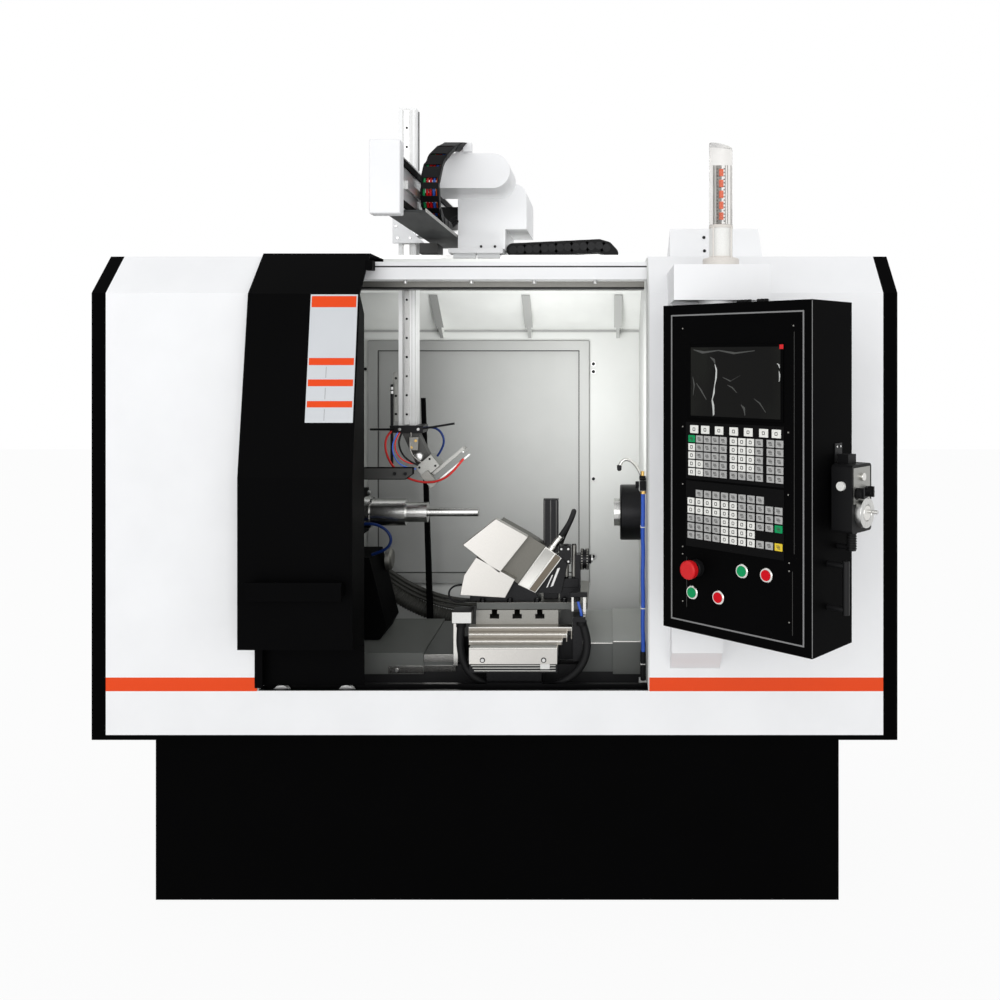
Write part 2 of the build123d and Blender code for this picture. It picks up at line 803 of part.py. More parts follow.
# Tool block: two bright front plates, tilted body, side bar and black post on the tool plate
tool_base = table_top + tool_plate_thickness
plate_y = (tool_front, tool_front + tool_plate_depth)
body_y = (tool_front + tool_plate_depth, tool_block_back)
upper_plate = [(-14, 922), (68, 876), (-5, 784), (-98, 856)]
tool_body = [(-2, 915), (68, 876), (112, 848), (40, 750), (-5, 784), (-78, 840)]
lower_plate = [(-64, 824), (35, 768), (10, 721), (-105, 728), (-95, 778)]
side_bar = [(112, 848), (154, 818), (86, 728), (40, 750)]
tool_foot = [(-58, 800), (40, 750), (86, 728), (100, tool_base), (-84, tool_base), (-84, 730)]
post_x, post_top = (104, 143), 965
nipple = Plane(origin=(126, body_y[0] + 25, 838), z_dir=(41, 0, 55))
nipple_radius, nipple_length = 9, 68
nipple_cap_radius, nipple_cap = 8, 30
with BuildPart() as tool_block:
    tool_plate_y = (table_front + 5, table_back - 20)
    block((saddle_middle - 104, saddle_middle + 180), tool_plate_y, (table_top, tool_base))
    front_plate(upper_plate, plate_y)
    front_plate(tool_body, body_y)
    front_plate(lower_plate, plate_y)
    front_plate(tool_foot, body_y)
    front_plate(side_bar, (body_y[0] - 6, body_y[1]))
    block(post_x, (body_y[1] - 22, body_y[1]), (tool_base, post_top))
    with BuildSketch(nipple) as nipple_end:
        Circle(nipple_radius)
    extrude(nipple_end.sketch, amount=nipple_length)
    with BuildSketch(nipple.offset(nipple_length)) as cap_end:
        Circle(nipple_cap_radius)
    extrude(cap_end.sketch, amount=nipple_cap)
save("tool_block", tool_block)

# Roller bracket and the grooved forming roller on its pin
fork_gap = forming_width / 2 + fit_gap
fork_wall = 14
pin_head = 6
bracket_foot_left, bracket_foot_top = 148, 760
guide_rod_x, guide_rod_top, guide_rod_radius = (164, 184), 848, 6
with BuildPart() as roller_bracket:
    bracket_yy = (forming_y - 16, forming_y + 16)
    fork_face = forming_x - fork_gap
    block((bracket_foot_left, fork_face), bracket_yy, (tool_base, bracket_foot_top))
    block((fork_face - fork_wall, fork_face), bracket_yy, (tool_base, forming_z + fork_wall))
    pin_end = forming_x + fork_gap
    round_x((fork_face, pin_end + pin_head), forming_y, forming_z, forming_pin_radius)
    round_x((pin_end, pin_end + pin_head), forming_y, forming_z, forming_pin_radius + 5)
    for x in guide_rod_x:
        round_z(x, forming_y, (bracket_foot_top, guide_rod_top), guide_rod_radius)
save("roller_bracket", roller_bracket)

with BuildPart() as forming_roller:
    forming_span = (forming_x - forming_width / 2, forming_x + forming_width / 2)
    round_x(forming_span, forming_y, forming_z, forming_radius)
    for number in (-1, 0, 1):
        x = forming_x + number * 2 * groove_width
        cut = (x - groove_width / 2, x + groove_width / 2)
        round_x(cut, forming_y, forming_z, forming_radius + 1, Mode.SUBTRACT)
        round_x(cut, forming_y, forming_z, forming_radius - groove_width)
    round_x(forming_span, forming_y, forming_z, forming_pin_radius + running_gap, Mode.SUBTRACT)
save("forming_roller", forming_roller)

# Loader carriage on the roof rails, with the upright that guides the cross beam
upright_x = (tray_right + 1, tray_right + 13)
runner_z = (1700, 1744)
cross_right = cross_left + cross_width
rail_proud = 7
rail_z = (1712, 1732)
carriage_x = (carriage_left, carriage_right)
carriage_y = (loader_rail_y[0] - 39, loader_rail_y[1] + 35)
plate_bottom = carriage_top - carriage_plate
slide_gap = 0.5
shoe_length, shoe_height, shoe_half = 60, 12, 18
runner_y = (-150, 0)
with BuildPart() as loader_carriage:
    block(carriage_x, carriage_y, (plate_bottom, carriage_top))
    shoe_bottom = plate_bottom - shoe_height
    for y in loader_rail_y:
        for x in (carriage_left + 10, carriage_right - shoe_length - 10):
            block((x, x + shoe_length), (y - shoe_half, y + shoe_half), (shoe_bottom, plate_bottom))
        half = loader_rail_width / 2 + slide_gap
        rail_clear = loader_beam_top + loader_rail_height + slide_gap
        block(carriage_x, (y - half, y + half), (shoe_bottom, rail_clear), Mode.SUBTRACT)
    block(upright_x, (-190, 40), (carriage_top, lower_cover_top - 8))
    block((cross_right + slide_gap, upright_x[0]), runner_y, runner_z)
    groove_z = (rail_z[0] - slide_gap, rail_z[1] + slide_gap)
    block((cross_right, cross_right + rail_proud + slide_gap), runner_y, groove_z, Mode.SUBTRACT)
save("loader_carriage", loader_carriage)

# Loader covers: the lower one notched over the cable chain, the upper one with a round end
notch_x, notch_z, shoulder = -2, 1678, 32
lower_y = (lower_cover_front, lower_cover_front + lower_cover_depth)


def lower_outline(inset, left):
    """Front outline of the lower cover, drawn in by inset."""
    bend = shoulder - inset
    corner = (lower_cover_right - shoulder, lower_cover_top - shoulder)
    turns = [radians(18 * step) for step in range(6)]
    return [
        (left, carriage_top - inset),
        (notch_x - inset, carriage_top - inset),
        (notch_x - inset, notch_z + inset),
        (lower_cover_right - inset, notch_z + inset),
        *((corner[0] + bend * cos(turn), corner[1] + bend * sin(turn)) for turn in turns),
        (left, lower_cover_top - inset),
    ]


round_end = (upper_cover_top - upper_cover_bottom) / 2
round_x_at = upper_cover_right - round_end
round_z_at = upper_cover_bottom + round_end
upper_y = (upper_cover_front, lower_cover_front)
tab_top = upper_cover_top + 18
tab_left, tab_width, tab_depth = -109, 32, 46
with BuildPart() as loader_covers:
    front_plate(lower_outline(0, lower_cover_left), lower_y)
    lower_hollow_y = (lower_y[0] + sheet, lower_y[1] - sheet)
    front_plate(lower_outline(sheet, lower_cover_left), lower_hollow_y, Mode.SUBTRACT)
    block((upper_cover_left, round_x_at), upper_y, (upper_cover_bottom, upper_cover_top))
    round_y(round_x_at, upper_y, round_z_at, round_end)
    inner_y = (upper_y[0] + sheet, upper_y[1])
    inner_zz = (upper_cover_bottom + sheet, upper_cover_top - sheet)
    block((upper_cover_left, round_x_at), inner_y, inner_zz, Mode.SUBTRACT)
    round_y(round_x_at, inner_y, round_z_at, round_end - sheet, Mode.SUBTRACT)
    front_plate(
        [
            (tab_left, upper_cover_top),
            (tab_left, tab_top),
            (tab_left + tab_width / 2, tab_top),
            (tab_left + tab_width, upper_cover_top),
        ],
        (upper_y[0], upper_y[0] + tab_depth),
    )
save("loader_covers", loader_covers)

# Cable chains: one lies to the right along the roof and bends down to it, one loops in front of the covers
chain_thick = 22
roof_thick, roof_sag = 36, 12
roof_bend, roof_bend_x = 57, 248
roof_chain_y = (-168, -124)
roof_chain_z = (loader_beam_top + 1, loader_beam_top + 1 + roof_bend)
tray_top = cross_bottom
loop_gap = 0.5
loop_bend = (upper_cover_top + chain_thick - tray_top) / 2
loop_y = -385
loop_z = tray_top + loop_gap + loop_bend
loop_lean = 8
loop_chain_x = (-150, -112)
loop_low_run = 135
with BuildPart() as cable_chains:
    foot_of_bend, top_of_run = roof_chain_z
    round_y(roof_bend_x, roof_chain_y, foot_of_bend, roof_bend)
    round_y(roof_bend_x, roof_chain_y, foot_of_bend, roof_bend - roof_thick, Mode.SUBTRACT)
    around = roof_bend + 1
    left_half, right_half = (roof_bend_x - around, roof_bend_x), (roof_bend_x, roof_bend_x + around)
    block(left_half, roof_chain_y, (foot_of_bend - around, top_of_run), Mode.SUBTRACT)
    block(right_half, roof_chain_y, (foot_of_bend - around, foot_of_bend), Mode.SUBTRACT)
    front_plate(
        [
            (notch_x, top_of_run - roof_sag),
            (roof_bend_x, top_of_run),
            (roof_bend_x, top_of_run - roof_thick),
            (notch_x, top_of_run - roof_thick - roof_sag),
        ],
        roof_chain_y,
    )
with BuildPart() as loop_chain:
    round_x(loop_chain_x, loop_y, loop_z, loop_bend)
    round_x(loop_chain_x, loop_y, loop_z, loop_bend - chain_thick, Mode.SUBTRACT)
    low_run, top_run = loop_z - loop_bend, loop_z + loop_bend
    block(loop_chain_x, (loop_y, loop_y + loop_bend), (low_run, top_run), Mode.SUBTRACT)
    block(loop_chain_x, (loop_y, upper_cover_front + tab_depth), (top_run - chain_thick, top_run))
    block(loop_chain_x, (loop_y, loop_y + loop_low_run), (low_run, low_run + chain_thick))
lean_axis = Axis((loop_chain_x[1], 0, top_run), (0, 1, 0))
with cable_chains:
    add(loop_chain.part.rotate(lean_axis, loop_lean))
save("cable_chains", cable_chains)

# Cross beam that carries the ram, with its tray, end cover and ram guide
end_cover_x, end_cover_z, end_cover_depth = (-247, -179), (1646, 1808), 40
cross_back = cross_front + cross_length
ram_right = ram_left + ram_width
ram_back = ram_front + ram_depth
guide_wall = 12
guide_z = (cross_bottom + 5, cross_bottom + 115)
with BuildPart() as cross_beam:
    block(end_cover_x, (cross_front - 20, cross_front + 20), end_cover_z)
    chamfer(cross_beam.edges().filter_by(Axis.Y), 3)
    cross_top = cross_bottom + cross_height
    block((cross_left, cross_right), (cross_front + 20, cross_back), (cross_bottom, cross_top))
    block((tray_left, tray_right), (cross_front + 20, 60), (tray_top - 5, tray_top))
    block((cross_right, cross_right + rail_proud), (cross_front + 60, cross_back), rail_z)
    guide_x = (ram_left - guide_wall, cross_left)
    guide_y = (ram_front - guide_wall, ram_back + guide_wall)
    block(guide_x, guide_y, guide_z)
    ram_hole_x = (ram_left - fit_gap, ram_right + fit_gap)
    ram_hole_y = (ram_front - fit_gap, ram_back + fit_gap)
    block(ram_hole_x, ram_hole_y, guide_z, Mode.SUBTRACT)
    front_plate([(guide_x[0], 1722), (guide_x[0], 1644), (-224, 1644)], (guide_y[0] - 10, guide_y[0]))
save("cross_beam", cross_beam)

# Ram, a grooved square profile
slot = 8
with BuildPart() as ram:
    ram_x, ram_y, ram_z = (ram_left, ram_right), (ram_front, ram_back), (ram_bottom, ram_top)
    block(ram_x, ram_y, ram_z)
    middle_x, middle_y = sum(ram_x) / 2, sum(ram_y) / 2
    for y in (ram_front, ram_back):
        block((middle_x - slot / 2, middle_x + slot / 2), (y - 5, y + 5), ram_z, Mode.SUBTRACT)
    for x in ram_x:
        block((x - 5, x + 5), (middle_y - slot / 2, middle_y + slot / 2), ram_z, Mode.SUBTRACT)
save("ram", ram)

# Gripper: clamp under the ram, tilted block, stop rods and the two sliding jaws
jaw_tilt = 40
lean = (cos(radians(jaw_tilt)), sin(radians(jaw_tilt)))
grip_x, grip_z = -215, 1040
grip_y = (-170, -100)


def leaning(s, n):
    """Corner of the tilted gripper, s along its jaws and n below them."""
    return (grip_x + s * lean[0] + n * lean[1], grip_z + s * lean[1] - n * lean[0])


def leaning_box(s, n):
    """Rectangle on the tilted gripper."""
    return [leaning(s[0], n[0]), leaning(s[1], n[0]), leaning(s[1], n[1]), leaning(s[0], n[1])]


clamp_x, clamp_z = (-305, -229), (1130, ram_bottom)
clamp_y = (ram_front - 13, ram_back + 13)
blow_plate_y, blow_rod_y = (-184, grip_y[0]), (-184, -176)
with BuildPart() as gripper:
    block(clamp_x, clamp_y, clamp_z)
    front_plate([(-288, clamp_z[0]), (-244, clamp_z[0]), (-206, 1052), (-244, 1034)], (-150, -110))
    front_plate(leaning_box((-28, 28), (-20, 20)), grip_y)
    front_plate(leaning_box((-28, -4), (8, 52)), blow_plate_y)
    front_plate(leaning_box((-4, 112), (44, 52)), blow_rod_y)
    block((-320, clamp_x[0]), (-156, -144), clamp_z)
    round_z(-315, -150, (1045, 1336), 5)
    round_x((-372, -143), clamp_y[0] - 3, sum(clamp_z) / 2, 4)
    block((-305, ram_left), (-130, -110), (ram_bottom, 1295))
save("gripper", gripper)

jaw_middle = sum(grip_y) / 2
for name, side in (("jaw_front", -1), ("jaw_rear", 1)):
    with BuildPart() as jaw:
        near = jaw_middle + side * jaw_gap / 2
        front_plate(leaning_box((-20, 105), (20 + fit_gap, 29)), sorted((near, near + side * 9)))
    save(name, jaw)

# Pendant arm with its column, roof box and the swivel disc with its pin
pivot = (513, -645)
arm_top = arm_bottom + arm_height
slope_y = cabinet_front + (arm_top - slope_bottom) * slope_run / slope_rise
swivel_z = (pendant_bottom + pendant_height + fit_gap, arm_bottom)
column_left = arm_left + 5
roof_box_y, roof_box_height = (-330, -180), 75
roof_box_x = (430, 666)
pin_radius = 12
with BuildPart() as pendant_support:
    side_plate(
        [
            (arm_front, arm_bottom),
            (arm_front, arm_top),
            (slope_y, arm_top),
            (cabinet_front, slope_bottom),
            (cabinet_front, arm_bottom),
        ],
        (arm_left, arm_left + arm_width),
    )
    side_plate(
        [
            (column_front, arm_bottom),
            (column_front, column_bottom + 57),
            (cabinet_front, column_bottom),
            (cabinet_front, arm_bottom),
        ],
        (column_left, column_left + column_width),
    )
    round_z(*pivot, swivel_z, swivel_radius)
    round_z(*pivot, (swivel_z[0] - 20, swivel_z[0]), pin_radius)
    roof_box_top = cabinet_top + roof_box_height
    roof_box_left, roof_box_right = roof_box_x
    front_plate(
        [
            (roof_box_left, cabinet_top),
            (roof_box_left, roof_box_top),
            (roof_box_right - 13, roof_box_top),
            (roof_box_right, cabinet_top),
        ],
        roof_box_y,
    )
    slope_front, slope_back = roof_box_y
    over_slope = [(slope_front, roof_box_top), (slope_back, roof_box_top), (slope_back, cabinet_top + 4)]
    side_plate(over_slope, roof_box_x, Mode.SUBTRACT)
save("pendant_support", pendant_support)

# Signal lamp: foot, body and the clear column with a slanted top
lamp_body_z = arm_top + lamp_foot_height
lamp_lens_z = lamp_body_z + lamp_body_height
with BuildPart() as signal_lamp:
    round_z(lamp_x, lamp_y, (arm_top, lamp_body_z), lamp_foot_radius)
    round_z(lamp_x, lamp_y, (lamp_body_z, lamp_lens_z), lamp_radius)
    lamp_top = lamp_lens_z + lamp_lens_height
    round_z(lamp_x, lamp_y, (lamp_lens_z, lamp_top), lamp_radius)
    side = lamp_radius + 1
    corners = [(lamp_x + side, lamp_top - 14), (lamp_x + side, lamp_top + 1), (lamp_x - side, lamp_top + 1)]
    front_plate(corners, (lamp_y - side, lamp_y + side), Mode.SUBTRACT)
save("signal_lamp", signal_lamp)

# Pendant, drawn in its own frame: x along its front, y into it, z up from its bottom left corner
pendant = Plane(
    origin=(*pendant_corner, pendant_bottom),
    x_dir=(cos(radians(pendant_yaw)), -sin(radians(pendant_yaw)), 0),
    z_dir=(0, 0, 1),
)
pivot_local = pendant.to_local_coords(Vector(*pivot, 0))
front_x = (pendant_wall, pendant_width - pendant_wall)
front_z = (pendant_wall, pendant_height - pendant_wall)
with BuildPart(pendant) as pendant_box:
    block((0, pendant_width), (0, pendant_depth), (0, pendant_height))
    block(front_x, (0, pendant_depth - pendant_wall), front_z, Mode.SUBTRACT)
    roof = (pendant_height - 2 * pendant_wall, pendant_height + 1)
    round_z(pivot_local.X, pivot_local.Y, roof, pin_radius + running_gap, Mode.SUBTRACT)
save("pendant_box", pendant_box)

buttons = {
    "green_button_upper": (209, 149.5),
    "red_button_upper": (268, 149.5),
    "green_button_lower": (81, 86),
    "red_button_lower": (149.5, 86),
}
stop_at, stop_head = (96, 141), (-42, -24)
bezel = 5
screen_x, screen_z, screen_depth = (76, 301), (465, 611), 3
keypad_x, keypad_z, keypad_depth = (63, 308), ((329, 451), (184, 325)), 2
with BuildPart(pendant) as control_panels:
    block(front_x, (0, pendant_wall), front_z)
    for x, z in (*buttons.values(), stop_at):
        round_y(x, (-bezel, 0), z, bezel_radius)
        round_y(x, (-bezel, pendant_wall), z, button_radius + fit_gap, Mode.SUBTRACT)
    block(screen_x, (-screen_depth, 0), screen_z)
    for z in keypad_z:
        block(keypad_x, (-keypad_depth, 0), z)
save("control_panels", control_panels)

with BuildPart(pendant) as stop_button:
    round_y(stop_at[0], stop_head, stop_at[1], stop_radius)
    fillet(stop_button.edges().filter_by(GeomType.CIRCLE), 5)
    round_y(stop_at[0], (stop_head[1], 12), stop_at[1], button_radius)
save("stop_button", stop_button)

for name, (x, z) in buttons.items():
    with BuildPart(pendant) as push_button:
        round_y(x, (-bezel - 1, 12), z, button_radius)
    save(name, push_button)

with BuildPart(pendant) as pendant_handle:
    grip_x_at, grip_y_at, grip_zz = pendant_width + 40, 60, (82, 188)
    round_z(grip_x_at, grip_y_at, grip_zz, 7)
    for z in (grip_zz[0] + 10, grip_zz[1] - 10):
        round_x((pendant_width, grip_x_at), grip_y_at, z, 6)
save("pendant_handle", pendant_handle)

# Hand pulse unit on the pendant's side
unit_x = (pendant_width + 8, pendant_width + 53)
unit_y, unit_z = (60, 140), (242, 377)
unit_mid = sum(unit_y) / 2
dial_z, knob_z, side_button_z = 281, 320, 335
knob_y = (unit_mid - 20, unit_mid + 20)
unit_face = unit_x[1]
face_gap = 0.5
with BuildPart(pendant) as pulse_unit:
    block(unit_x, unit_y, unit_z)
    fillet(pulse_unit.edges().filter_by(Axis((0, 0, 0), pendant.x_dir)), 8)
    block((pendant_width, unit_x[0]), (unit_y[0] + 20, unit_y[1] - 20), (unit_z[0] + 20, unit_z[1] - 20))
    boot_x = sum(unit_x) / 2
    hanger_y, hanger_top = (unit_mid - 16, unit_mid + 16), unit_z[1] + 18
    block((unit_x[0], unit_x[0] + 24), hanger_y, (unit_z[1], hanger_top))
    round_z(boot_x, unit_mid, (unit_z[0] - 40, unit_z[0]), 9)
    round_x((pendant_width, boot_x), unit_mid, unit_z[0] - 34, 6)
    round_x((unit_face - 12, unit_face), unit_mid, dial_z, 5 + running_gap, Mode.SUBTRACT)
    for y in knob_y:
        round_x((unit_face - 10, unit_face), y, knob_z, 3 + running_gap, Mode.SUBTRACT)
    round_y(boot_x, (unit_y[0], unit_y[0] + 20), side_button_z, 9 + fit_gap, Mode.SUBTRACT)
save("pulse_unit", pulse_unit)

with BuildPart(pendant) as pulse_dial:
    round_x((unit_face + face_gap, unit_face + 12), unit_mid, dial_z, 30)
    round_x((unit_face - 11, unit_face + face_gap), unit_mid, dial_z, 5)
    round_x((unit_face + 12, unit_face + 24), unit_mid + 20, dial_z, 4)
save("pulse_dial", pulse_dial)

for name, y in zip(("pulse_knob_axis", "pulse_knob_step"), knob_y):
    with BuildPart(pendant) as knob:
        round_x((unit_face + face_gap, unit_face + 13), y, knob_z, 9)
        round_x((unit_face - 9, unit_face + face_gap), y, knob_z, 3)
        block((unit_face + 4, unit_face + 16), (y - 2.5, y + 2.5), (knob_z - 9, knob_z + 12))
    save(name, knob)

with BuildPart(pendant) as pulse_button:
    round_y(boot_x, (unit_y[0] - 6, unit_y[0] + 14), side_button_z, 9)
save("pulse_button", pulse_button)

# Hoses
air_loop = [
    (-399, -172, 884),
    (-372, -176, 888),
    (-345, -180, 884),
    (-321, -182, 870),
    (-309, -182, 848),
    (-316, -180, 826),
    (-337, -176, 812),
    (-364, -172, 803),
]
drain = [
    (-567, 124, 742),
    (-500, 122, 722),
    (-438, 121, 684),
    (-380, 121, 640),
    (-318, 122, 600),
    (-248, 124, 570),
    (-178, 130, 552),
    (-112, 146, 545),
    (-52, 172, 552),
    (2, 204, 572),
    (40, 230, 592),
]
nozzle = [
    (369, -176, 1006),
    (359, -177, 1026),
    (349, -178, 1043),
    (336, -179, 1057),
    (320, -180, 1062),
    (308, -181, 1054),
    (303, -181, 1041),
]


def wall_route(y):
    """Route down the right wall between the two gland blocks."""
    return [
        (361, y, 998),
        (362, y + 1, 950),
        (360, y - 2, 895),
        (362, y + 2, 838),
        (360, y - 1, 780),
        (362, y + 2, 722),
        (360, y - 2, 664),
        (362, y + 1, 606),
        (360, y - 1, 560),
        (361, y, 520),
    ]


with BuildPart() as machine_hoses:
    hose("air loop", air_loop, 8)
    hose("drain hose", drain, 46)
    for y in (-331, -345):
        hose("wall hose", wall_route(y), 10)
    hose("coolant nozzle", nozzle, 9)
save("machine_hoses", machine_hoses)

left_hose = [
    (-97, -352, 668),
    (-100, -353, 634),
    (-98, -356, 598),
    (-87, -362, 562),
    (-62, -369, 533),
    (-28, -374, 517),
]
right_hose = [
    (206, -352, 672),
    (217, -353, 642),
    (221, -356, 608),
    (214, -361, 574),
    (194, -366, 546),
    (164, -371, 526),
    (136, -374, 515),
    (108, -375, 510),
]
with BuildPart() as tool_hoses:
    hose("left hose", left_hose, 20)
    hose("right hose", right_hose, 20)
save("tool_hoses", tool_hoses)

red_air = [
    (-305, -146, 1142),
    (-322, -158, 1131),
    (-330, -170, 1106),
    (-324, -180, 1074),
    (-305, -188, 1042),
    (-274, -193, 1016),
    (-236, -195, 1002),
    (-196, -196, 1000),
    (-162, -197, 1012),
    (-138, -197, 1034),
    (-124, -194, 1052),
    (-116, -184, 1062),
]
blue_air = [
    (-229, -150, 1143),
    (-204, -152, 1147),
    (-182, -153, 1135),
    (-172, -152, 1112),
    (-177, -150, 1088),
    (-192, -148, 1066),
]
with BuildPart() as ram_hoses:
    hose("red air hose", red_air, 8)
    hose("blue air hose", blue_air, 8)
save("ram_hoses", ram_hoses)
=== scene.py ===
"""Looks of an enclosed spinning lathe with a gantry loader, built around its CAD frame."""
from math import atan2, cos, pi, radians, sin

import bmesh
import bpy
from bpy.props import FloatProperty, FloatVectorProperty, IntProperty, PointerProperty
from mathutils import Matrix, Vector


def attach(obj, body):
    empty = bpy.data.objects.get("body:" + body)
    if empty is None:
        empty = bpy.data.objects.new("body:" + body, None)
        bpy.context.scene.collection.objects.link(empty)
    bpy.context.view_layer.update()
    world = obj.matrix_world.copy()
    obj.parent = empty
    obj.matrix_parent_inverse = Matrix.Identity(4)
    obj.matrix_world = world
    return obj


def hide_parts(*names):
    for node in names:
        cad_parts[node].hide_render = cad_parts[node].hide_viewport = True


bl_info = {
    "name": "Spinning lathe",
    "version": (1, 0, 0),
    "blender": (4, 5, 0),
    "location": "View3D > Sidebar > Lathe",
    "description": "Dresses an enclosed spinning lathe with paint, metal, keys, chains and hoses",
    "category": "Object",
}

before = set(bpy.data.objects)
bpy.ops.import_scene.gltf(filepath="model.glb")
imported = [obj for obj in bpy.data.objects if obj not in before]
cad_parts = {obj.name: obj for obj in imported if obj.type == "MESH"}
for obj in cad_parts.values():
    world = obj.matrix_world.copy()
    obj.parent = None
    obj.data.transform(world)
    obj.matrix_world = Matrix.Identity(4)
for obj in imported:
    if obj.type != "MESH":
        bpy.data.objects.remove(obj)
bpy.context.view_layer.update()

MM = 0.001
FULL_TURN = 2 * pi
SHARP_ANGLE = radians(32)
BEVEL_ANGLE = radians(40)
CHAMFER = 0.6
PENDANT_YAW = radians(42)
PENDANT_CORNER = (394, -671, 744)
PENDANT_BODIES = ("pendant", "pulse_dial")
SPINDLE_Y, SPINDLE_Z = -120, 910
SILL_FACE = -468
CHAMBER_WIDTH = (-567, 369)
WALL_FACE = (226, 230)
BACK, SIDE = 432, 967
WALL_HOSES = (-331, -345)
GRIPPER_TILT = radians(40)


def colour_property(name, description, default):
    """Colour that a user can change."""
    return FloatVectorProperty(
        name=name, description=description, default=default, subtype="COLOR", min=0, max=1
    )


def length_property(name, description, default, low=0):
    """Length that a user can change, given in millimetres."""
    limits = {"default": default * MM, "min": low * MM}
    return FloatProperty(name=name, description=description, unit="LENGTH", subtype="DISTANCE", **limits)


class LatheColours(bpy.types.PropertyGroup):
    """Finishes of the lathe."""

    white: colour_property("White paint", "Cabinet, sill and loader covers", (0.855, 0.86, 0.866))
    black: colour_property("Black paint", "Base, end covers, door and pendant", (0.003, 0.003, 0.0033))
    orange: colour_property("Orange band", "Band round the cabinet's foot", (0.76, 0.056, 0.0))
    wall: colour_property("Chamber paint", "Inner walls", (0.66, 0.67, 0.65))
    key_white: colour_property("White key", "Number and function keys", (0.80, 0.80, 0.76))
    key_grey: colour_property("Grey key", "Letter keys", (0.40, 0.40, 0.39))
    green: colour_property("Green", "Start buttons and keys", (0.015, 0.36, 0.11))
    red: colour_property("Red", "Stop buttons", (0.62, 0.008, 0.012))
    blue: colour_property("Blue hose", "Coolant and air hoses", (0.02, 0.10, 0.55))


class LatheSizes(bpy.types.PropertyGroup):
    """Sizes of the added detail."""

    edge: length_property("Edge", "Rounding of a plate's edges", 0.8)
    band_low: length_property("Band low", "Lower edge of the orange band", 533)
    band_high: length_property("Band high", "Upper edge of the orange band", 566)
    roof_pitch: length_property("Roof chain pitch", "Length of a roof chain's link", 22, 5)
    loop_pitch: length_property("Loop chain pitch", "Length of a loop chain's link", 30, 5)
    round_steps: IntProperty(name="Round steps", description="Sides of a round piece", default=48, min=12)


def sizes():
    """Sizes set in the sidebar."""
    return bpy.context.scene.lathe_sizes


# Materials


def fill(tree, node, inputs):
    """Set a node's inputs to plain values, or link them to other nodes' sockets."""
    for key, value in inputs.items():
        if isinstance(value, bpy.types.NodeSocket):
            tree.links.new(value, node.inputs[key])
        else:
            node.inputs[key].default_value = value


def add_node(tree, kind, inputs, **settings):
    """New node with its settings and inputs."""
    node = tree.nodes.new("ShaderNode" + kind)
    for name, value in settings.items():
        setattr(node, name, value)
    fill(tree, node, inputs)
    return node


def new_material(name, metallic=0, gloss_level=0.5):
    """Principled material with its nodes and shader."""
    material = bpy.data.materials.new(name)
    material.use_nodes = True
    tree = material.node_tree
    shader = tree.nodes["Principled BSDF"]
    fill(tree, shader, {"Metallic": metallic, "Specular IOR Level": gloss_level})
    return material, tree, shader


def object_place(tree):
    """Place on the object."""
    return add_node(tree, "TexCoord", {}).outputs["Object"]


def place_along(tree, axis):
    """Place along one axis of the object."""
    return add_node(tree, "SeparateXYZ", {"Vector": object_place(tree)}).outputs[axis]


def noise(tree, scale, detail, stretch=(1, 1, 1)):
    """Noise in object space, stretched along an axis for brushed grain."""
    mapping = add_node(tree, "Mapping", {"Vector": object_place(tree), "Scale": stretch})
    inputs = {"Vector": mapping.outputs["Vector"], "Scale": scale, "Detail": detail}
    return add_node(tree, "TexNoise", inputs).outputs["Fac"]


def dress(tree, shader, source, tones, rough, stops=(0.3, 0.7)):
    """Colour and roughness that follow one pattern."""
    ramp = add_node(tree, "ValToRGB", {"Fac": source})
    for stop, position, colour in zip(ramp.color_ramp.elements, stops, tones):
        stop.position = position
        stop.color = (*colour, 1)
    gloss = add_node(tree, "MapRange", {"Value": source, "To Min": rough[0], "To Max": rough[1]})
    fill(tree, shader, {"Base Color": ramp.outputs["Color"], "Roughness": gloss.outputs["Result"]})


def add_bump(tree, shader, source, strength, distance):
    """Bump from a height."""
    bump = add_node(tree, "Bump", {"Height": source, "Strength": strength, "Distance": distance})
    fill(tree, shader, {"Normal": bump.outputs["Normal"]})


def scaled(colour, factor):
    """Colour made lighter or darker."""
    return tuple(min(1, channel * factor) for channel in colour[:3])


def paint(name, colour, roughness=0.4, vary=0.05, peel=0.06, gloss_level=0.5):
    """Sprayed paint: orange-peel bump, soft patches of tone and wear in its gloss."""
    material, tree, shader = new_material(name, 0, gloss_level)
    tones = scaled(colour, 1 - vary), scaled(colour, 1 + vary / 3)
    dress(tree, shader, noise(tree, 6, 4), tones, (roughness - 0.05, roughness + 0.07))
    add_bump(tree, shader, noise(tree, 700, 2), peel, 0.0004)
    return material


def metal(name, colour, roughness=0.3, stretch=(1, 1, 1), vary=0.12, scratch=0.08):
    """Bare metal with grain drawn along one axis."""
    material, tree, shader = new_material(name, 1)
    grain = noise(tree, 260, 5, stretch)
    tones = scaled(colour, 1 - vary), scaled(colour, 1 + vary / 2)
    dress(tree, shader, grain, tones, (roughness - 0.08, roughness + 0.1))
    add_bump(tree, shader, grain, scratch, 0.0003)
    return material


def moulded(name, colour, roughness=0.5, texture=0.12, gloss_level=0.5):
    """Moulded plastic or rubber with a fine leathery grain."""
    material, tree, shader = new_material(name, 0, gloss_level)
    grain = noise(tree, 900, 3)
    tones = scaled(colour, 0.88), scaled(colour, 1.08)
    dress(tree, shader, grain, tones, (roughness - 0.06, roughness + 0.08))
    add_bump(tree, shader, grain, texture, 0.0004)
    return material


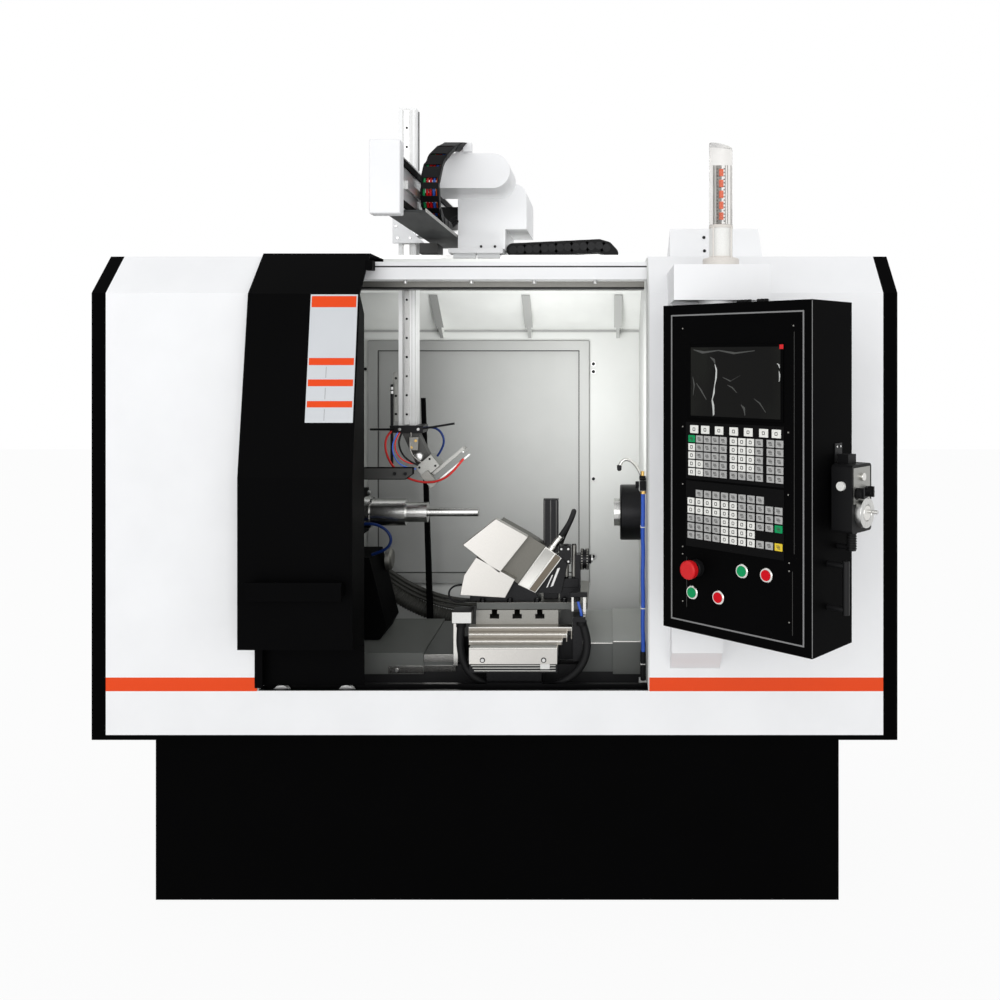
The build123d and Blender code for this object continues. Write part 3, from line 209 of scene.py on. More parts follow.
def turned(name, colour):
    """Steel turned on a lathe, with fine rings along X."""
    material, tree, shader = new_material(name, 1)
    inputs = {"Vector": object_place(tree), "Scale": 900, "Distortion": 0.6}
    rings = add_node(tree, "TexWave", inputs, bands_direction="X")
    tones = scaled(colour, 0.86), scaled(colour, 1.05)
    dress(tree, shader, noise(tree, 60, 4, (6, 1, 1)), tones, (0.19, 0.27))
    add_bump(tree, shader, rings.outputs["Fac"], 0.1, 0.0002)
    return material


def ground_coat(material):
    """Nodes, shader and colour socket of a finish."""
    tree = material.node_tree
    shader = tree.nodes["Principled BSDF"]
    return tree, shader, shader.inputs["Base Color"].links[0].from_socket


def banded_paint(name, colour, band, axis, low, high, gloss_level=0.3):
    """Paint with another colour between two places along an axis."""
    material = paint(name, colour, 0.34, 0.035, 0.05, gloss_level)
    tree, shader, ground = ground_coat(material)
    span = {0: place_along(tree, axis), 1: (low + high) / 2, 2: (high - low) / 2}
    inside = add_node(tree, "Math", span, operation="COMPARE").outputs["Value"]
    mix = add_node(tree, "Mix", {"Factor": inside, 6: ground, 7: (*band, 1)}, data_type="RGBA")
    fill(tree, shader, {"Base Color": mix.outputs[2]})
    return material


def painted_light_ramp(material, axis, low, high, shade):
    """Finish with painted light and shade along an axis: its colour is scaled by a share at the low place of
    the axis, up to its full colour at the high place; a share below one paints shade there, a share above one
    paints light.
    """
    tree, shader, ground = ground_coat(material)
    span = {"Value": place_along(tree, axis), "From Min": low, "From Max": high, "To Min": shade, "To Max": 1}
    fade = add_node(tree, "MapRange", span).outputs["Result"]
    tone = add_node(tree, "VectorMath", {0: ground, "Scale": fade}, operation="SCALE")
    fill(tree, shader, {"Base Color": tone.outputs["Vector"]})
    return material


def clear_plastic(name, tint):
    """Clear moulded plastic."""
    material, tree, shader = new_material(name)
    fill(tree, shader, {"Transmission Weight": 0.97, "IOR": 1.35})
    dress(tree, shader, noise(tree, 30, 3), (scaled(tint, 0.93), tint), (0.12, 0.22))
    return material


def filmed_screen(name):
    """Dark screen under a creased protective film: the creases bump it and vary its roughness, and its colour
    lightens along them as painted sheen.
    """
    material, tree, shader = new_material(name, 0, 0.12)
    creases = noise(tree, 9, 7, (1, 1, 0.25))
    # Lighter tone along the creases is painted sheen.
    tones = (0.0015, 0.0015, 0.0012), (0.011, 0.012, 0.009)
    dress(tree, shader, creases, tones, (0.12, 0.4), (0.45, 0.75))
    add_bump(tree, shader, creases, 0.25, 0.004)
    return material


finishes = {}


def make_finishes():
    """Every finish of the lathe, by its plain name."""
    colours, size = bpy.context.scene.lathe_colours, sizes()
    white, black = tuple(colours.white), tuple(colours.black)
    band = (tuple(colours.orange), "Z", size.band_low, size.band_high)
    dark_way, dark_saddle = (0.11, 0.115, 0.108), (0.10, 0.105, 0.1)
    # Hatch paint: a darker share of the chamber paint as painted shade, darkened further towards -X as a
    # painted shadow of the door and ram.
    hatch = paint("Hatch paint", scaled(colours.wall, 0.74), 0.45, 0.06, 0.1, 0.3)
    # Bright ground plate, painted darker towards +X as painted shade next to the tool body.
    bright = metal("Bright ground plate", (0.64, 0.622, 0.592), 0.38, (9, 9, 1), 0.12, 0.05)
    # Ram paint, darkened towards its lower end as painted shade inside the chamber.
    ram_alloy = paint("Anodised ram", (0.88, 0.885, 0.88), 0.32, 0.05, 0.05, 0.5)
    # Bar face metal, lightened towards its lower end as a painted highlight.
    bar_face = metal("Bar face", (0.34, 0.335, 0.32), 0.34, (9, 9, 1), 0.1, 0.05)
    finishes.update(
        white=paint("White powder coat", white, 0.36, 0.035, 0.06, 0.3),
        banded=banded_paint("White powder coat with band", white, *band),
        sill=banded_paint("White sill with dark channel", white, black, "Y", SILL_FACE * MM, 0, 0.2),
        carriage=banded_paint(
            "Pale carriage with black upright", scaled(white, 0.8), black, "Z", 1.626, 1.9, 0.2
        ),
        black=paint("Black enamel", scaled(black, 0.3), 0.5, 0.2, 0.04, 0.015),
        door_black=paint("Black door enamel", scaled(black, 0.5), 0.5, 0.2, 0.05, 0.02),
        crinkle=paint("Black crinkle paint", scaled(black, 0.5), 0.6, 0.2, 0.22, 0.02),
        dark_grey=paint("Dark grey paint", (0.05, 0.05, 0.048), 0.45, 0.15, 0.1, 0.2),
        # Very dark tray grey, partly painted shade on the tray's underside.
        shade_grey=paint("Grey tray paint", (0.035, 0.038, 0.038), 0.5, 0.2, 0.1, 0.15),
        wall=paint("Chamber paint", tuple(colours.wall), 0.45, 0.05, 0.1, 0.3),
        hatch=painted_light_ramp(hatch, "X", -0.3, 0.19, 0.6),
        # Dark seam paint for real joints, also used for a painted shadow line under the hood.
        seam=paint("Paint seam", scaled(colours.wall, 0.55), 0.5, 0.1, 0.05, 0.2),
        inner_white=paint("Inner white paint", scaled(colours.wall, 1.36), 0.4, 0.08, 0.08, 0.3),
        orange=paint("Orange print", tuple(colours.orange), 0.5, 0.03, 0.02, 0.2),
        print_white=paint("White print", (0.57, 0.59, 0.61), 0.5, 0.04, 0.02),
        steel=metal("Ground steel", (0.62, 0.62, 0.61), 0.3, (1, 12, 12)),
        plate=metal("Way cover steel", (0.40, 0.40, 0.38), 0.42, (1, 14, 14), 0.25),
        leaf=metal("Dark leaf steel", (0.29, 0.27, 0.24), 0.3, (1, 14, 14), 0.18),
        bright=painted_light_ramp(bright, "X", 0.1, -0.1, 0.78),
        mirror=metal("Polished bar", (0.74, 0.73, 0.70), 0.2, (9, 1, 1), 0.1, 0.04),
        grey_steel=metal("Milled steel", (0.29, 0.285, 0.265), 0.45, (6, 1, 6), 0.2),
        turned=turned("Turned steel", (0.60, 0.60, 0.585)),
        oxide=metal("Black oxide steel", (0.022, 0.022, 0.023), 0.38, (1, 6, 6), 0.3),
        alloy=metal("Anodised profile", (0.66, 0.67, 0.67), 0.34, (8, 8, 1), 0.06),
        ram_alloy=painted_light_ramp(ram_alloy, "Z", 1.2, 1.42, 0.5),
        bar_face=painted_light_ramp(bar_face, "Z", 0.74, 0.83, 2.2),
        way_grey=banded_paint("Way cover grey", (0.36, 0.37, 0.35), dark_way, "Z", 0.4, 0.6065),
        saddle_grey=banded_paint("Saddle cover grey", (0.33, 0.34, 0.32), dark_saddle, "Z", 0.4, 0.6),
        roller=metal("Bright roller", (0.86, 0.86, 0.85), 0.45, (9, 1, 1), 0.05, 0.03),
        air_red=moulded("Red air hose", (0.33, 0.014, 0.012), 0.4, 0.04, 0.2),
        button_red=moulded("Red button", (0.60, 0.002, 0.01), 0.35, 0.03, 0.12),
        button_green=moulded("Green button", (0.004, 0.29, 0.095), 0.35, 0.03, 0.12),
        handle=paint("Handle enamel", (0.007, 0.007, 0.0075), 0.38, 0.2, 0.1, 0.2),
        # Faint crease paint: painted highlights on the screen's film.
        film_faint=paint("Faint film crease", (0.045, 0.047, 0.043), 0.25, 0.3, 0.1),
        plate_grey=paint("Tool plate grey", (0.12, 0.125, 0.118), 0.5, 0.2, 0.1, 0.3),
        brass=metal("Brass fitting", (0.72, 0.47, 0.16), 0.28),
        iron=paint("Cast iron", (0.02, 0.02, 0.021), 0.6, 0.3, 0.3, 0.2),
        plastic=moulded("Black plastic", (0.006, 0.006, 0.0065), 0.45, 0.12, 0.12),
        rubber=moulded("Black rubber", (0.008, 0.008, 0.0085), 0.62, 0.2, 0.2),
        hose_grey=moulded("Grey drain hose", (0.036, 0.036, 0.032), 0.55, 0.12, 0.25),
        body_steel=metal("Tool body steel", (0.15, 0.145, 0.13), 0.45, (6, 1, 6), 0.2),
        brown_steel=metal("Brown flank steel", (0.14, 0.12, 0.095), 0.34, (9, 9, 1), 0.25),
        blue=moulded("Blue hose", tuple(colours.blue), 0.35, 0.04),
        dark_blue=moulded("Dark blue hose", scaled(colours.blue, 0.15), 0.4, 0.04, 0.2),
        red=moulded("Red plastic", tuple(colours.red), 0.32, 0.03, 0.3),
        green=moulded("Green plastic", tuple(colours.green), 0.32, 0.03, 0.3),
        yellow=moulded("Yellow key", (0.75, 0.55, 0.02), 0.4, 0.04),
        key_white=moulded("White key", tuple(colours.key_white), 0.45, 0.04),
        key_grey=moulded("Grey key", tuple(colours.key_grey), 0.5, 0.04),
        keypad=moulded("Keypad film", (0.004, 0.004, 0.0042), 0.5, 0.06, 0.04),
        line_grey=paint("Grey line", (0.20, 0.20, 0.20), 0.45, 0.05, 0.02),
        # Crease paint: painted highlights on the screen's film.
        film=paint("Film crease", (0.55, 0.56, 0.54), 0.2, 0.3, 0.1),
        lens=clear_plastic("Clear lamp column", (0.90, 0.885, 0.86)),
        screen=filmed_screen("Screen under film"),
        lamp_orange=moulded("Lamp segment", (0.88, 0.10, 0.0), 0.35, 0.03, 0.2),
        ivory=moulded("Ivory plastic", (0.80, 0.80, 0.77), 0.35, 0.04, 0.3),
        beige=moulded("Beige plastic", (0.68, 0.645, 0.60), 0.4, 0.06, 0.3),
        grey_plate=moulded("Grey light board", (0.30, 0.29, 0.27), 0.5, 0.2, 0.3),
    )


# Shapes, in millimetres


def add_point(bm, point):
    """Vertex at a point in millimetres."""
    return bm.verts.new(Vector(point) * MM)


def arc(centre, radius, start, sweep, steps):
    """Points along an arc with both its ends."""
    turns = [start + sweep * i / steps for i in range(steps + 1)]
    return [(centre[0] + radius * cos(turn), centre[1] + radius * sin(turn)) for turn in turns]


def circle(centre, radius, steps):
    """Points round a circle."""
    return arc(centre, radius, 0, FULL_TURN, steps)[:-1]


def skin(bm, rings):
    """Faces between neighbouring rings of vertices."""
    for low, high in zip(rings, rings[1:]):
        for i in range(len(low)):
            j = (i + 1) % len(low)
            bm.faces.new((low[i], low[j], high[j], high[i]))


def cap(bm, rings):
    """Faces that close the two ends of a row of rings."""
    bm.faces.new(rings[0])
    bm.faces.new(rings[-1])


def box(bm, x, y, z):
    """Box between the pairs x, y and z."""
    prism(bm, [(x[0], y[0]), (x[1], y[0]), (x[1], y[1]), (x[0], y[1])], "Z", z)


def lathe_turn(bm, axis, centre, profile, steps=None, ring=False):
    """Solid of revolution: profile holds (distance, radius) from end to end of the axis, or round a ring."""
    first, second, along = {"X": (1, 2, 0), "Y": (2, 0, 1), "Z": (0, 1, 2)}[axis]
    rings = []
    for distance, radius in profile:
        verts = []
        for a, b in circle(centre, radius, steps or sizes().round_steps):
            point = [0, 0, 0]
            point[first], point[second], point[along] = a, b, distance
            verts.append(add_point(bm, point))
        rings.append(verts)
    if ring:
        rings.append(rings[0])
    else:
        cap(bm, rings)
    skin(bm, rings)


def rod(bm, axis, centre, span, radius, steps=None):
    """Round bar with small chamfers."""
    low, high = sorted(span)
    edge = min(CHAMFER, (high - low) / 3, radius / 3)
    profile = ((low, radius - edge), (low + edge, radius), (high - edge, radius), (high, radius - edge))
    lathe_turn(bm, axis, centre, profile, steps)


def prism(bm, outline, axis, span):
    """Flat outline carried along an axis: outline in (X, Z) for Y, in (Y, Z) for X, in (X, Y) for Z."""
    rings = []
    for distance in span:
        verts = []
        for a, b in outline:
            point = {"Y": (a, distance, b), "X": (distance, a, b), "Z": (a, b, distance)}[axis]
            verts.append(add_point(bm, point))
        rings.append(verts)
    skin(bm, rings)
    cap(bm, rings)


def pendant_turn():
    """Frame of the pendant: x along its front, y into it, z up."""
    along = (cos(PENDANT_YAW), -sin(PENDANT_YAW), 0)
    inward = (sin(PENDANT_YAW), cos(PENDANT_YAW), 0)
    turn = Matrix((along, inward, (0, 0, 1))).transposed().to_4x4()
    turn.translation = Vector(PENDANT_CORNER) * MM
    return turn


def add_piece(name, data, finish, body, stands_for):
    """Named piece with a finish, on the body that it rides on."""
    piece = bpy.data.objects.new(name, data)
    bpy.context.scene.collection.objects.link(piece)
    data.materials.append(finishes[finish])
    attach(piece, body)
    if stands_for:
        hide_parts(*stands_for)
    return piece


def finish_piece(name, bm, finish, body="machine_frame", edge=None, stands_for=()):
    """Turn a mesh into a piece with softened edges. The pendant's pieces are drawn in its own frame."""
    if body in PENDANT_BODIES:
        bm.transform(pendant_turn())
    bmesh.ops.recalc_face_normals(bm, faces=bm.faces)
    mesh = bpy.data.meshes.new(name)
    bm.to_mesh(mesh)
    bm.free()
    mesh.polygons.foreach_set("use_smooth", [True] * len(mesh.polygons))
    mesh.set_sharp_from_angle(angle=SHARP_ANGLE)
    piece = add_piece(name, mesh, finish, body, stands_for)
    width = sizes().edge if edge is None else edge * MM
    if width > 0:
        bevel = piece.modifiers.new("Soft edges", "BEVEL")
        bevel.width = width
        bevel.segments = 2
        bevel.limit_method = "ANGLE"
        bevel.angle_limit = BEVEL_ANGLE
    return piece


def boxes(name, spans, finish, body="machine_frame", edge=None, stands_for=()):
    """Piece of one or more boxes."""
    bm = bmesh.new()
    for span in spans:
        box(bm, *span)
    return finish_piece(name, bm, finish, body, edge, stands_for)


def rods(name, axis, spots, span, radius, finish, body="machine_frame"):
    """Piece of like round bars, such as screws."""
    bm = bmesh.new()
    for spot in spots:
        rod(bm, axis, spot, span, radius)
    return finish_piece(name, bm, finish, body, 0)


def spun(name, axis, centre, profile, finish, body="machine_frame", edge=0, ring=False):
    """Piece of one solid of revolution."""
    bm = bmesh.new()
    lathe_turn(bm, axis, centre, profile, ring=ring)
    return finish_piece(name, bm, finish, body, edge)


def plate(name, outline, depth, finish, body="machine_frame", edge=None, stands_for=()):
    """Piece of one outline in (X, Z), carried along Y."""
    bm = bmesh.new()
    prism(bm, outline, "Y", depth)
    return finish_piece(name, bm, finish, body, edge, stands_for)


def coat_nodes(finish, *nodes):
    """Give CAD nodes a finish."""
    for name in nodes:
        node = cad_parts[name]
        if node.material_slots:
            for slot in node.material_slots:
                slot.material = finishes[finish]
        else:
            node.data.materials.append(finishes[finish])


def curve_piece(name, points, diameter, finish, body="machine_frame", stands_for=()):
    """Smooth round hose or cable through the control points of a route."""
    curve = bpy.data.curves.new(name, "CURVE")
    curve.dimensions = "3D"
    curve.bevel_depth = 1
    curve.bevel_resolution = 5
    curve.use_fill_caps = True
    curve.resolution_u = 10
    spline = curve.splines.new("NURBS")
    spline.points.add(len(points) - 1)
    for spot, point in zip(spline.points, points):
        spot.co = (*(value * MM for value in point), 1)
        spot.radius = diameter / 2 * MM
    spline.order_u = 3
    spline.use_endpoint_u = True
    return add_piece(name, curve, finish, body, stands_for)


def spline_line(piece):
    """Points along a curve piece's own line."""
    curve = piece.data
    depth = curve.bevel_depth
    curve.bevel_depth = 0
    mesh = bpy.data.meshes.new_from_object(piece)
    curve.bevel_depth = depth
    return [vert.co.copy() for vert in mesh.vertices]


def declare_cord(piece, points, spots, diameter, stiffness, far_end="object", **more):
    """Work out a piece's start and the length of its line of spots, and keep neither."""
    tuple(value * MM for value in points[0])
    sum((b - a).length for a, b in zip(spots, spots[1:]))


def ribbed_hose(name, points, diameter, finish):
    """Corrugated hose whose rings follow its route's spline."""
    guide = curve_piece(name + "_guide", points, diameter, finish)
    guide.data.resolution_u = 48
    spots = spline_line(guide)
    bpy.data.objects.remove(guide)
    bm = bmesh.new()
    rings = []
    for i, spot in enumerate(spots):
        ahead = spots[min(i + 1, len(spots) - 1)] - spots[max(i - 1, 0)]
        turn = ahead.to_track_quat("Z", "Y").to_matrix()
        on_rib = i % 6 in (1, 2, 3)
        around = circle((0, 0), diameter / 2 * MM * (1 if on_rib else 0.9), 32)
        rings.append([bm.verts.new(spot + turn @ Vector((a, b, 0))) for a, b in around])
    skin(bm, rings)
    cap(bm, rings)
    piece = finish_piece(name, bm, finish, edge=0)
    declare_cord(piece, points, spots, diameter, "stiff", path=[tuple(spot) for spot in spots])


def free_hose(name, points, diameter, finish, body, stands_for=(), stiffness="limp", fitting=None):
    """Hose from the machine back into it or into a fitting."""
    piece = curve_piece(name, points, diameter, finish, body, stands_for)
    far_end = "fitting" if fitting else "object"
    pieces_on_it = [fitting] if fitting else []
    declare_cord(piece, points, spline_line(piece), diameter, stiffness, far_end, with_pieces=pieces_on_it)


# Pieces


class LATHE_OT_enclosure(bpy.types.Operator):
    """Paint the base, cabinet, chamber and beams, and add their screws, seals and louvres"""

    bl_idname = "lathe.enclosure"
    bl_label = "Enclosure"

    def execute(self, context):
        make_finishes()
        coat_nodes("black", "base_frame", "end_covers")
        coat_nodes("banded", "cabinet_skins")
        coat_nodes("sill", "front_sill")
        coat_nodes("white", "door_beam", "pendant_support")
        coat_nodes("wall", "chamber_walls")
        # The inspection cover takes the hatch finish with its painted shade and painted shadow.
        coat_nodes("hatch", "inspection_cover")
        coat_nodes("inner_white", "loader_beams")
        coat_nodes("steel", "guide_rails")
        coat_nodes("iron", "bed")
        coat_nodes("way_grey", "bed_covers")
        seams = [((x, x + 1.2), (SILL_FACE - 0.5, SILL_FACE), (432, 533)) for x in (-573, 375)]
        boxes("sill_seams", seams, "seam", edge=0)
        self.chamber()
        self.beams()
        self.back_and_ends()
        return {"FINISHED"}

    def chamber(self):
        """Seals and screws of the inspection cover, and the valve on the right wall."""
        spots = [(1316, 228), (1292, 228), (1300, -478), (720, -478), (720, 228), (960, 228)]
        rods("screw_rings", "Y", spots, WALL_FACE, 9, "steel")
        rods("cover_screws", "Y", spots, (224, 230), 5, "oxide")
        left, right, low, high = -468, 214, 640, 1387
        seal, rim = 3, 29
        outer = [(x, WALL_FACE, (low, high)) for x in ((left - seal, left), (right, right + seal))]
        outer.append(((left, right), WALL_FACE, (high, high + seal)))
        boxes("cover_edge", outer, "seam", edge=0.4)
        left, right, low, high = left + rim, right - rim, low + rim, high - rim
        proud = (223, 226)
        inner = [(x, proud, (low, high)) for x in ((left, left + seal), (right - seal, right))]
        inner += [((left, right), proud, z) for z in ((high - seal, high), (low, low + seal))]
        boxes("cover_seal", inner, "dark_grey", edge=0.4)
        rear, front = WALL_HOSES
        bm = bmesh.new()
        box(bm, (352, 368), (-362, -354), (1000, 1024))
        rod(bm, "Z", (360, rear), (1024, 1034), 8)
        rod(bm, "Z", (360, front), (1024, 1030), 8)
        rod(bm, "X", (-338, 1012), (342, 351), 9)
        finish_piece("air_valve", bm, "plastic")
        bm = bmesh.new()
        for y in WALL_HOSES:
            rod(bm, "Z", (361, y), (990, 998), 7.5, 6)
        rod(bm, "Z", (360, rear), (1034, 1046), 5, 6)
        rod(bm, "X", (-176, 1006), (363, 369), 9, 6)
        finish_piece("brass_fittings", bm, "brass", edge=0)
        ties = [((354.5, 367), (-351.5, -324.5), (z, z + 2.5)) for z in (560, 700, 905)]
        boxes("hose_ties", ties, "ivory")
        spun("nozzle_tip", "Z", (303, -181), ((1030, 3.5), (1033, 6), (1044, 6.5), (1046, 4.5)), "rubber")

    def beams(self):
        """Flanges of the hood darkened as painted shade, a painted shadow line under the hood, strip and
        bolts under the front beam, a painted shadow line in the beam's groove, screws of the roof box.
        """
        bm = bmesh.new()
        for x in (-237, 33, 303):
            prism(bm, [(47, 1518), (161, 1428), (159, 1426), (45, 1516)], "X", (x - 12, x + 12))
            prism(bm, [(161, 1428), (200, 1397), (198, 1395), (159, 1426)], "X", (x - 5, x + 5))
        # The flanges take the darker hatch finish as painted shade.
        finish_piece("gusset_flanges", bm, "hatch", edge=0.4)
        # Dark strip where the hood meets the wall: a painted shadow under the hood's edge.
        boxes("hood_shadow_line", [(CHAMBER_WIDTH, WALL_FACE, (1414, 1421))], "seam", edge=0.3)
        boxes("beam_strip", [(CHAMBER_WIDTH, (-214, -158), (1521, 1540))], "grey_steel")
        boxes("beam_strip_edge", [(CHAMBER_WIDTH, (-216, -156), (1517, 1521))], "oxide")
        rods("beam_bolts", "Z", [(x, -340) for x in (-240, -73, 86, 240)], (1521, 1529), 5, "steel")
        # Dark line on the beam's front: a real groove whose dark tone is painted shadow.
        boxes("beam_groove_shadow_line", [(CHAMBER_WIDTH, (-374, -372.2), (1559, 1563))], "dark_grey", edge=0)
        rods("roof_box_screws", "Y", [(1639, 516), (1605, 517.5)], (-332, -330), 4, "oxide")

    def back_and_ends(self):
        """Service panels, louvres and screws on the sides away from the door."""
        panels = [(x, (BACK - 2, BACK), (470, 1550)) for x in ((-900, -310), (-290, 290), (310, 900))]
        boxes("rear_panels", panels, "wall", edge=1.2)
        columns = [x + side for x in (-605, 0, 605) for side in (-275, 275)]
        spots = [(z, x) for x in columns for z in (490, 840, 1190, 1530)]
        rods("rear_screws", "Y", spots, (BACK, BACK + 3), 6, "steel")
        bm = bmesh.new()
        for x in (-605, 605):
            for z in range(1250, 1490, 24):
                prism(bm, [(BACK, z), (BACK + 6, z + 2), (BACK, z + 15)], "X", (x - 170, x + 170))
        finish_piece("rear_louvres", bm, "wall", edge=0.6)
        slats, screws = bmesh.new(), bmesh.new()
        for side in (-1, 1):
            for z in range(1200, 1408, 26):
                outline = [(side * SIDE, z), (side * (SIDE + 6), z + 2), (side * SIDE, z + 16)]
                prism(slats, outline, "Y", (-110, 190))
            for y in (-430, 0, 400):
                for z in (460, 950, 1450):
                    rod(screws, "X", (y, z), (side * SIDE, side * (SIDE + 3)), 6)
        finish_piece("end_louvres", slats, "black", edge=0.6)
        finish_piece("end_screws", screws, "oxide", edge=0)


class LATHE_OT_door(bpy.types.Operator):
    """Paint the sliding door and fix its plain banded placard"""

    bl_idname = "lathe.door"
    bl_label = "Door"

    def execute(self, context):
        coat_nodes("door_black", "door_panel", "door_handle")
        coat_nodes("roller", "door_roller_left", "door_roller_right")
        trims = [((-575, -556), (-473, -469.5), (541, 640)), ((-320, -302), (-432, -402), (1548, 1572))]
        boxes("door_trims", trims, "door_black", "door", 0.6)
        self.strips("door_placard", (-434, -322), [(2, 308)], (0, 0.8), "print_white", 0.2)
        bands = [(6, 33), (155, 172), (206, 222), (257, 272)]
        self.strips("placard_bands", (-431, -325), bands, (0.8, 1.1), "orange", 0)
        rules = [(176, 202), (226, 253), (276, 303)]
        self.strips("placard_rules", (-390, -389), rules, (0.8, 1), "line_grey", 0)
        return {"FINISHED"}

    def strips(self, name, x, spans, proud, finish, edge):
        """Thin strips on the door's leaning face, each from one distance below the fold to another."""
        fold, knee = Vector((-492, 1486)), Vector((-561, 1056))
        lean = (knee - fold).normalized()
        out = Vector((lean.y, lean.x))
        bm = bmesh.new()
        for start, end in spans:
            corners = ((start, proud[0]), (start, proud[1]), (end, proud[1]), (end, proud[0]))
            prism(bm, [fold + lean * down + out * height for down, height in corners], "X", x)
        finish_piece(name, bm, finish, "door", edge)


class LATHE_OT_spindle(bpy.types.Operator):
    """Finish the headstock, spindle line and belt drive"""

    bl_idname = "lathe.spindle"
    bl_label = "Spindle line"

    def execute(self, context):
        coat_nodes("crinkle", "headstock", "spindle_motor")
        coat_nodes("turned", "spindle", "mandrel", "live_nose", "tail_sleeve")
        coat_nodes("turned", "motor_pulley", "spindle_pulley")
        coat_nodes("oxide", "tail_quill")
        coat_nodes("rubber", "drive_belt")
        corners = [(SPINDLE_Y + y, SPINDLE_Z + z) for y in (-47, 47) for z in (-47, 47)]
        rods("flange_bolts", "X", corners, (-399, -391), 6.5, "steel")
        around = circle((SPINDLE_Y, SPINDLE_Z), 40.5, 6)
        rods("nose_screws", "X", around, (-376, -373), 2.6, "oxide", "spindle")
        collar = ((-348, 14), (-348, 31), (-336, 31), (-330, 24), (-330, 14))
        spun("drain_collar", "X", (-64, 771), collar, "grey_steel", edge=0.5)
        outline = [(-566, 1014), (-263, 1014), (-244, 1027), (-244, 1042), (-566, 1042)]
        plate("feeder_face", outline, (-231, -230), "dark_grey", edge=0.5)
        rods("feeder_bolts", "Y", [(1028, x) for x in (-290, -262)], (-234, -231), 4.5, "oxide")
        return {"FINISHED"}


